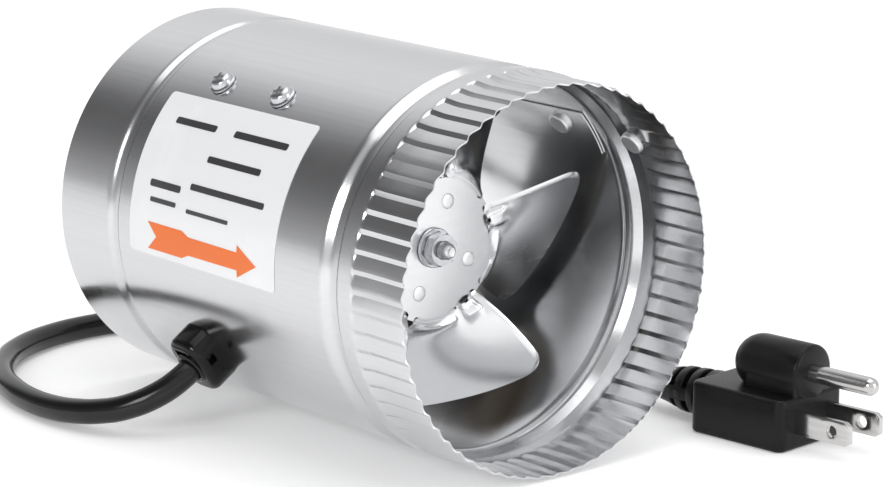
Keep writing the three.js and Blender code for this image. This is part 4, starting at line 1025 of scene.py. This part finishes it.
on_top = sink_pocket(gland, lambda f: abs(f.normal.z) > 0.999 and f.calc_center_median().z > head_top - 0.01,
                     [((-2.7, 0, 0), (1, 0, 0)), ((2.7, 0, 0), (1, 0, 0)),
                      ((0, 4.0, 0), (0, 1, 0)), ((0, 6.2, 0), (0, 1, 0))], (0, 0, -3.2))
on_side = sink_pocket(gland, lambda f: f.normal.x > 0.999 and f.calc_center_median().x > side_x - 0.01,
                      [((0, 0.4, 0), (0, 1, 0)), ((0, 3.1, 0), (0, 1, 0)),
                       ((0, 0, head_low + 2.2), (0, 0, 1)), ((0, 0, head_low + 4.6), (0, 0, 1))], (-1.6, 0, 0))
neck = [(43, CORD_RADIUS + 0.2), (43, 5.9), (44, 6.3), (47.6, 6.9), (49.4, 6.9), (49.5, 6.3), (52, 6.3),
        (52, CORD_RADIUS + 0.2)]
mouth = from_base(head_top, (-1, CORD_RADIUS + 0.1), (-1, 5.0), (0.1, 4.9), (0.5, 4.5), (0.6, 4.0),
                  (0.3, CORD_RADIUS + 0.1))
for profile in (neck, mouth):
    ring = turned(closed(profile), 40)
    bmesh.ops.transform(ring, matrix=STAND, verts=ring.verts)
    join(gland, ring)
finish_piece("cord_bushing", gland, GLAND, black_nylon, nodes=["cord_gland", "gland_lock"])
inner_cord = turned([(36.3, 0), (36.3, 3.1), (36.6, 3.4), (58, 3.4), (58, 0)], 32)
finish_piece("cord_inside", inner_cord, GLAND @ STAND, cord_pvc, nodes=["cord_inner_end"])
print(f"bushing head {HEAD_ALONG} x {HEAD_ROUND} mm, pocket faces {on_top} and {on_side}")

# %% [markdown]
# ## The motor: stamped and moulded parts
# The motor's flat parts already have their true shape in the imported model; what they lack is the small
# radius that a press or a mould leaves on every edge. Each one is copied, its doubled points are
# merged, its flat faces are joined up, and its edges are bevelled by a few tenths of a millimetre.

# %% Copies with eased edges
def packed_copy(node):
    """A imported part's mesh with its doubled points merged."""
    bm = bmesh.new()
    bm.from_mesh(bpy.data.objects[node].data)
    bmesh.ops.remove_doubles(bm, verts=bm.verts, dist=MERGE)
    return bm


def eased_copy(node, width, material, segments=2):
    """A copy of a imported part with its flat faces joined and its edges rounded."""
    bm = packed_copy(node)
    bmesh.ops.dissolve_limit(bm, angle_limit=math.radians(1), verts=bm.verts, edges=bm.edges)
    round_edges(bm, width * MM, segments, angle=25)
    finish_piece(f"{node}_eased", bm, Matrix.Identity(4), material, nodes=[node], sharp=30)


# The strap's zinc and the brackets' cast metal are painted dark: painted shade inside the tube.
for node, width, material, slot, segments in (
        ("motor_strap", 0.25, motor_zinc_painted_shade, "zinc_plated", 2),
        ("stator_core", 0.3, core_steel, "electrical_steel", 2),
        ("bearing_bracket_rear", 0.3, cast_metal_painted_shade, "cast_aluminium", 2),
        ("bearing_bracket_front", 0.3, cast_metal_painted_shade, "cast_aluminium", 2),
        ("coil_bobbin", 0.25, moulded_nylon, "nylon", 2),
        ("coil_winding", 1.4, coil_tape, "coil_tape", 5),
        ("shading_ring_left", 0.4, bare_copper, "copper", 3),
        ("shading_ring_right", 0.4, bare_copper, "copper", 3)):
    eased_copy(node, width, material, segments)

# %% [markdown]
# ## The motor: turned parts
# Screws, spacers, bearings, the rotor and the hub's collar are round, so each is spun from its profile
# with enough steps to look round from close by. They sit at the same distances along the axis as the
# parts they stand for.

# %% Screws and spacers
MOTOR_MIDDLE, STACK_HALF, TIE_SIDE = 63, 10, 17.5
STRAP_HALF = 18.1
STRAP_REAR, STRAP_FRONT = MOTOR_MIDDLE - STRAP_HALF, MOTOR_MIDDLE + STRAP_HALF
STRAP_INNER = TUBE_RADIUS - WALL - 1.55 + 0.3 - 1.2
MOTOR = FAN @ Matrix.Rotation(math.radians(MOTOR_ANGLE - 90), 4, "X")


def motor_part(name, bm, node, y=0.0, z=0.0, sharp=38):
    """A zinc plated part of the motor, moved sideways in the motor's space."""
    finish_piece(name, shift(bm, y=y, z=z), MOTOR, zinc_plate, nodes=[node], sharp=sharp)


def spacer(low, high):
    """A short tube with eased ends."""
    return turned(closed([(low, 2.2), (low, 2.9), (low + 0.3, 3.2), (high - 0.3, 3.2), (high, 2.9),
                          (high, 2.2)]), 40)


long_screw = (from_base(STRAP_REAR, (-2.7, 0), (-2.7, 1.3), (-2.5, 2.2), (-1.8, 3), (-0.8, 3.3), (-0.05, 3.3),
                        (-0.05, 1.8))
              + from_base(STRAP_FRONT, (4, 1.8), (4.4, 1.4), (4.4, 0)))
for side, across in (("left", -TIE_SIDE), ("right", TIE_SIDE)):
    motor_part(f"long_screw_{side}", turned(long_screw, 40), f"tie_screw_{side}", across)
    motor_part(f"tube_spacer_rear_{side}", spacer(STRAP_REAR + 1.2, MOTOR_MIDDLE - STACK_HALF - 1.5),
               f"spacer_rear_{side}", across)
    motor_part(f"tube_spacer_front_{side}", spacer(MOTOR_MIDDLE + STACK_HALF + 1.5, STRAP_FRONT - 1.2),
               f"spacer_front_{side}", across)
    motor_part(f"long_nut_{side}", hexagon_nut(STRAP_FRONT + 0.05, STRAP_FRONT + 3, 6.5, 1.85),
               f"tie_nut_{side}", across, sharp=25)
for end, along in SCREW_ALONG.items():
    finish_piece(f"strap_nut_{end}", hexagon_nut(STRAP_INNER - 3.5, STRAP_INNER - 0.3, 7, 2.05),
                 upright(along, MOTOR_ANGLE) @ STAND, zinc_plate, nodes=[f"bracket_nut_{end}"],
                 sharp=25)

# %% Bearings, rotor, washers, collar and ground screw
for end, way in (("rear", -1), ("front", 1)):
    middle = MOTOR_MIDDLE + way * (STACK_HALF + 9.25)
    bearing = [(middle + way * past, radius) for past, radius in (
        (-3.5, 2.8), (-3.5, 4.1), (-3.1, 4.5), (1.05, 4.5), (1.05, 6.2), (1.35, 6.5), (2.15, 6.4), (2.55, 5.8),
        (2.55, 4.6), (3.2, 4.4), (3.5, 4.1), (3.5, 2.8))]
    finish_piece(f"sleeve_bearing_{end}", turned(closed(bearing), 40), MOTOR, bronze,
                 nodes=[f"bearing_{end}"])
    ring = [(MOTOR_MIDDLE + way * past, radius) for past, radius in (
        (13.3, 2.8), (13.3, 4.4), (13.5, 4.6), (15.25, 4.6), (15.45, 4.4), (15.45, 2.8))]
    turning_piece(f"thrust_ring_{end}", turned(closed(ring), 40), moulded_nylon, f"thrust_washer_{end}")

# The rotor and the collar carry the cast metal's painted shade.
rotor = [(50, 2.8), (50, 9.2), (50.5, 10), (53, 10), (53, 11.7), (53.3, 12), (72.7, 12), (73, 11.7), (73, 10),
         (75.5, 10), (76, 9.2), (76, 2.8)]
turning_piece("squirrel_cage_rotor", turned(closed(rotor), 64), cast_metal_painted_shade, "rotor")
collar = [(86, 2.8), (86, 5.4), (86.6, 6), (94.8, 6), (95.6, 6.8), (95.95, 8), (95.95, 15), (96.4, 15.5),
          (96.9, 15.5), (97.2, 15.2), (97.2, 2.8)]
turning_piece("riveted_collar", turned(closed(collar), 64), cast_metal_painted_shade, "hub_collar")
small_screw = from_base(STRAP_REAR, (-4, 0), (-4, 0.9), (-3.7, 1.8), (-3, 2.4), (-2.3, 2.6), (-2.25, 1.5),
                        (3.3, 1.5), (3.6, 1.2), (3.6, 0))
motor_part("ground_screw", turned(small_screw, 32), "earth_screw", -12, 18)

# %% [markdown]
# ## Wires
# Inside the tube the cord's three wires part. They are thin and always a little slack, and their packed
# shapes have six sides, so a Subdivision Surface modifier on a copy turns them into smooth round wires.
# The splice caps get the same treatment as other moulded parts.

# %% Smooth wires and splice caps
for colour, node, material in (("black", "lead_live", black_wire), ("white", "lead_neutral", white_wire),
                               ("green", "lead_earth", green_wire)):
    piece = finish_piece(f"{node}_smooth", packed_copy(node), Matrix.Identity(4), material, nodes=[node],
                         sharp=180)
    soften = piece.modifiers.new("round", "SUBSURF")
    soften.levels = soften.render_levels = 2
for wire in ("live", "neutral"):
    eased_copy(f"splice_cap_{wire}", 0.5, moulded_nylon, segments=3)

# %% [markdown]
# ## Floor and light
# The fan lies on a plain pale floor that fills the picture. Shiny metal shows its surroundings more
# than its own colour, so the light is planned as what the tube will mirror: a large bright panel
# overhead, a sky that is pale above and behind, dark halfway up the near side and pale again ahead of
# the outlet, two small lamps that pick out edges, and the floor's own white.

# %% The floor
floor_bm = bmesh.new()
bmesh.ops.create_grid(floor_bm, x_segments=1, y_segments=1, size=6)
floor_mesh = bpy.data.meshes.new("floor")
floor_bm.to_mesh(floor_mesh)
floor_bm.free()
floor = bpy.data.objects.new("floor", floor_mesh)
bpy.context.scene.collection.objects.link(floor)
floor_paint, floor_tree, floor_shader, floor_position = start_material("floor_paint")
mottle = use_group(floor_tree, smudge_group, floor_position, Size=3.0)
floor_tree.links.new(blend_colours(floor_tree, mottle, (0.93, 0.93, 0.93), (0.95, 0.95, 0.95)),
                     floor_shader.inputs["Base Color"])
for label, value in (("Roughness", 0.6), ("Specular IOR Level", 0.2), ("Emission Color", (1, 1, 1, 1)),
                     ("Emission Strength", 0.22)):
    floor_shader.inputs[label].default_value = value
floor_mesh.materials.append(floor_paint)
print(f"floor {floor.dimensions.x:.0f} m across")

# %% The sky round the set
world = bpy.data.worlds.new("studio")
world.use_nodes = True
sky = world.node_tree
background = sky.nodes["Background"]
direction = add_node(sky, "ShaderNodeTexCoord").outputs["Generated"]
parts = add_node(sky, "ShaderNodeSeparateXYZ", {0: direction}).outputs
turned_by = add_node(sky, "ShaderNodeMath", {0: parts["Z"], 1: parts["Y"]}, operation="ARCTAN2")
share = add_node(sky, "ShaderNodeMath", {0: turned_by.outputs[0], 1: math.pi}, operation="DIVIDE")
ramp = add_node(sky, "ShaderNodeValToRGB", {0: share.outputs[0]})
ahead = add_node(sky, "ShaderNodeMapRange", {"Value": parts["X"], "From Min": 0.1, "From Max": 0.6})
steps = [(0.0, 0.85), (0.12, 0.8), (0.27, 0.94), (0.39, 0.98), (0.455, 0.85), (0.522, 0.6), (0.59, 0.38),
         (0.655, 0.2), (0.72, 0.14), (0.79, 0.17), (0.855, 0.24), (0.92, 0.37), (1.0, 0.56)]
for position, _ in steps[2:]:
    ramp.color_ramp.elements.new(position)
for element, (position, value) in zip(ramp.color_ramp.elements, steps):
    element.position = position
    element.color = (value, value, value * 1.01, 1)
background.inputs["Strength"].default_value = 1.0
sky.links.new(blend_colours(sky, ahead.outputs[0], ramp.outputs[0], (0.95, 0.95, 0.96)),
              background.inputs["Color"])
bpy.context.scene.world = world
levels = [value for _, value in steps]
print("the sky's brightness goes from", min(levels), "to", max(levels))

# %% The lamps
def softbox(name, place, target, size, power):
    """A rectangular lamp that faces a point."""
    data = bpy.data.lights.new(name, "AREA")
    data.shape = "RECTANGLE"
    data.size, data.size_y = size
    data.energy = power
    lamp = bpy.data.objects.new(name, data)
    lamp.location = place
    lamp.rotation_euler = (Vector(target) - Vector(place)).to_track_quat("-Z", "Y").to_euler()
    bpy.context.scene.collection.objects.link(lamp)
    print(f"{name}: {power} W, {size[0]} x {size[1]} m")


softbox("overhead", (0.1, 0.0, 1.3), (0, 0, 0), (1.2, 1.0), 5)
softbox("outlet_side", (1.0, 0.35, 0.35), (0.07, 0, 0.05), (0.35, 0.6), 2)
softbox("front", (0.3, -1.0, 0.5), (0, 0, 0.06), (0.4, 0.4), 3.5)
bpy.context.scene.view_settings.view_transform = "Standard"
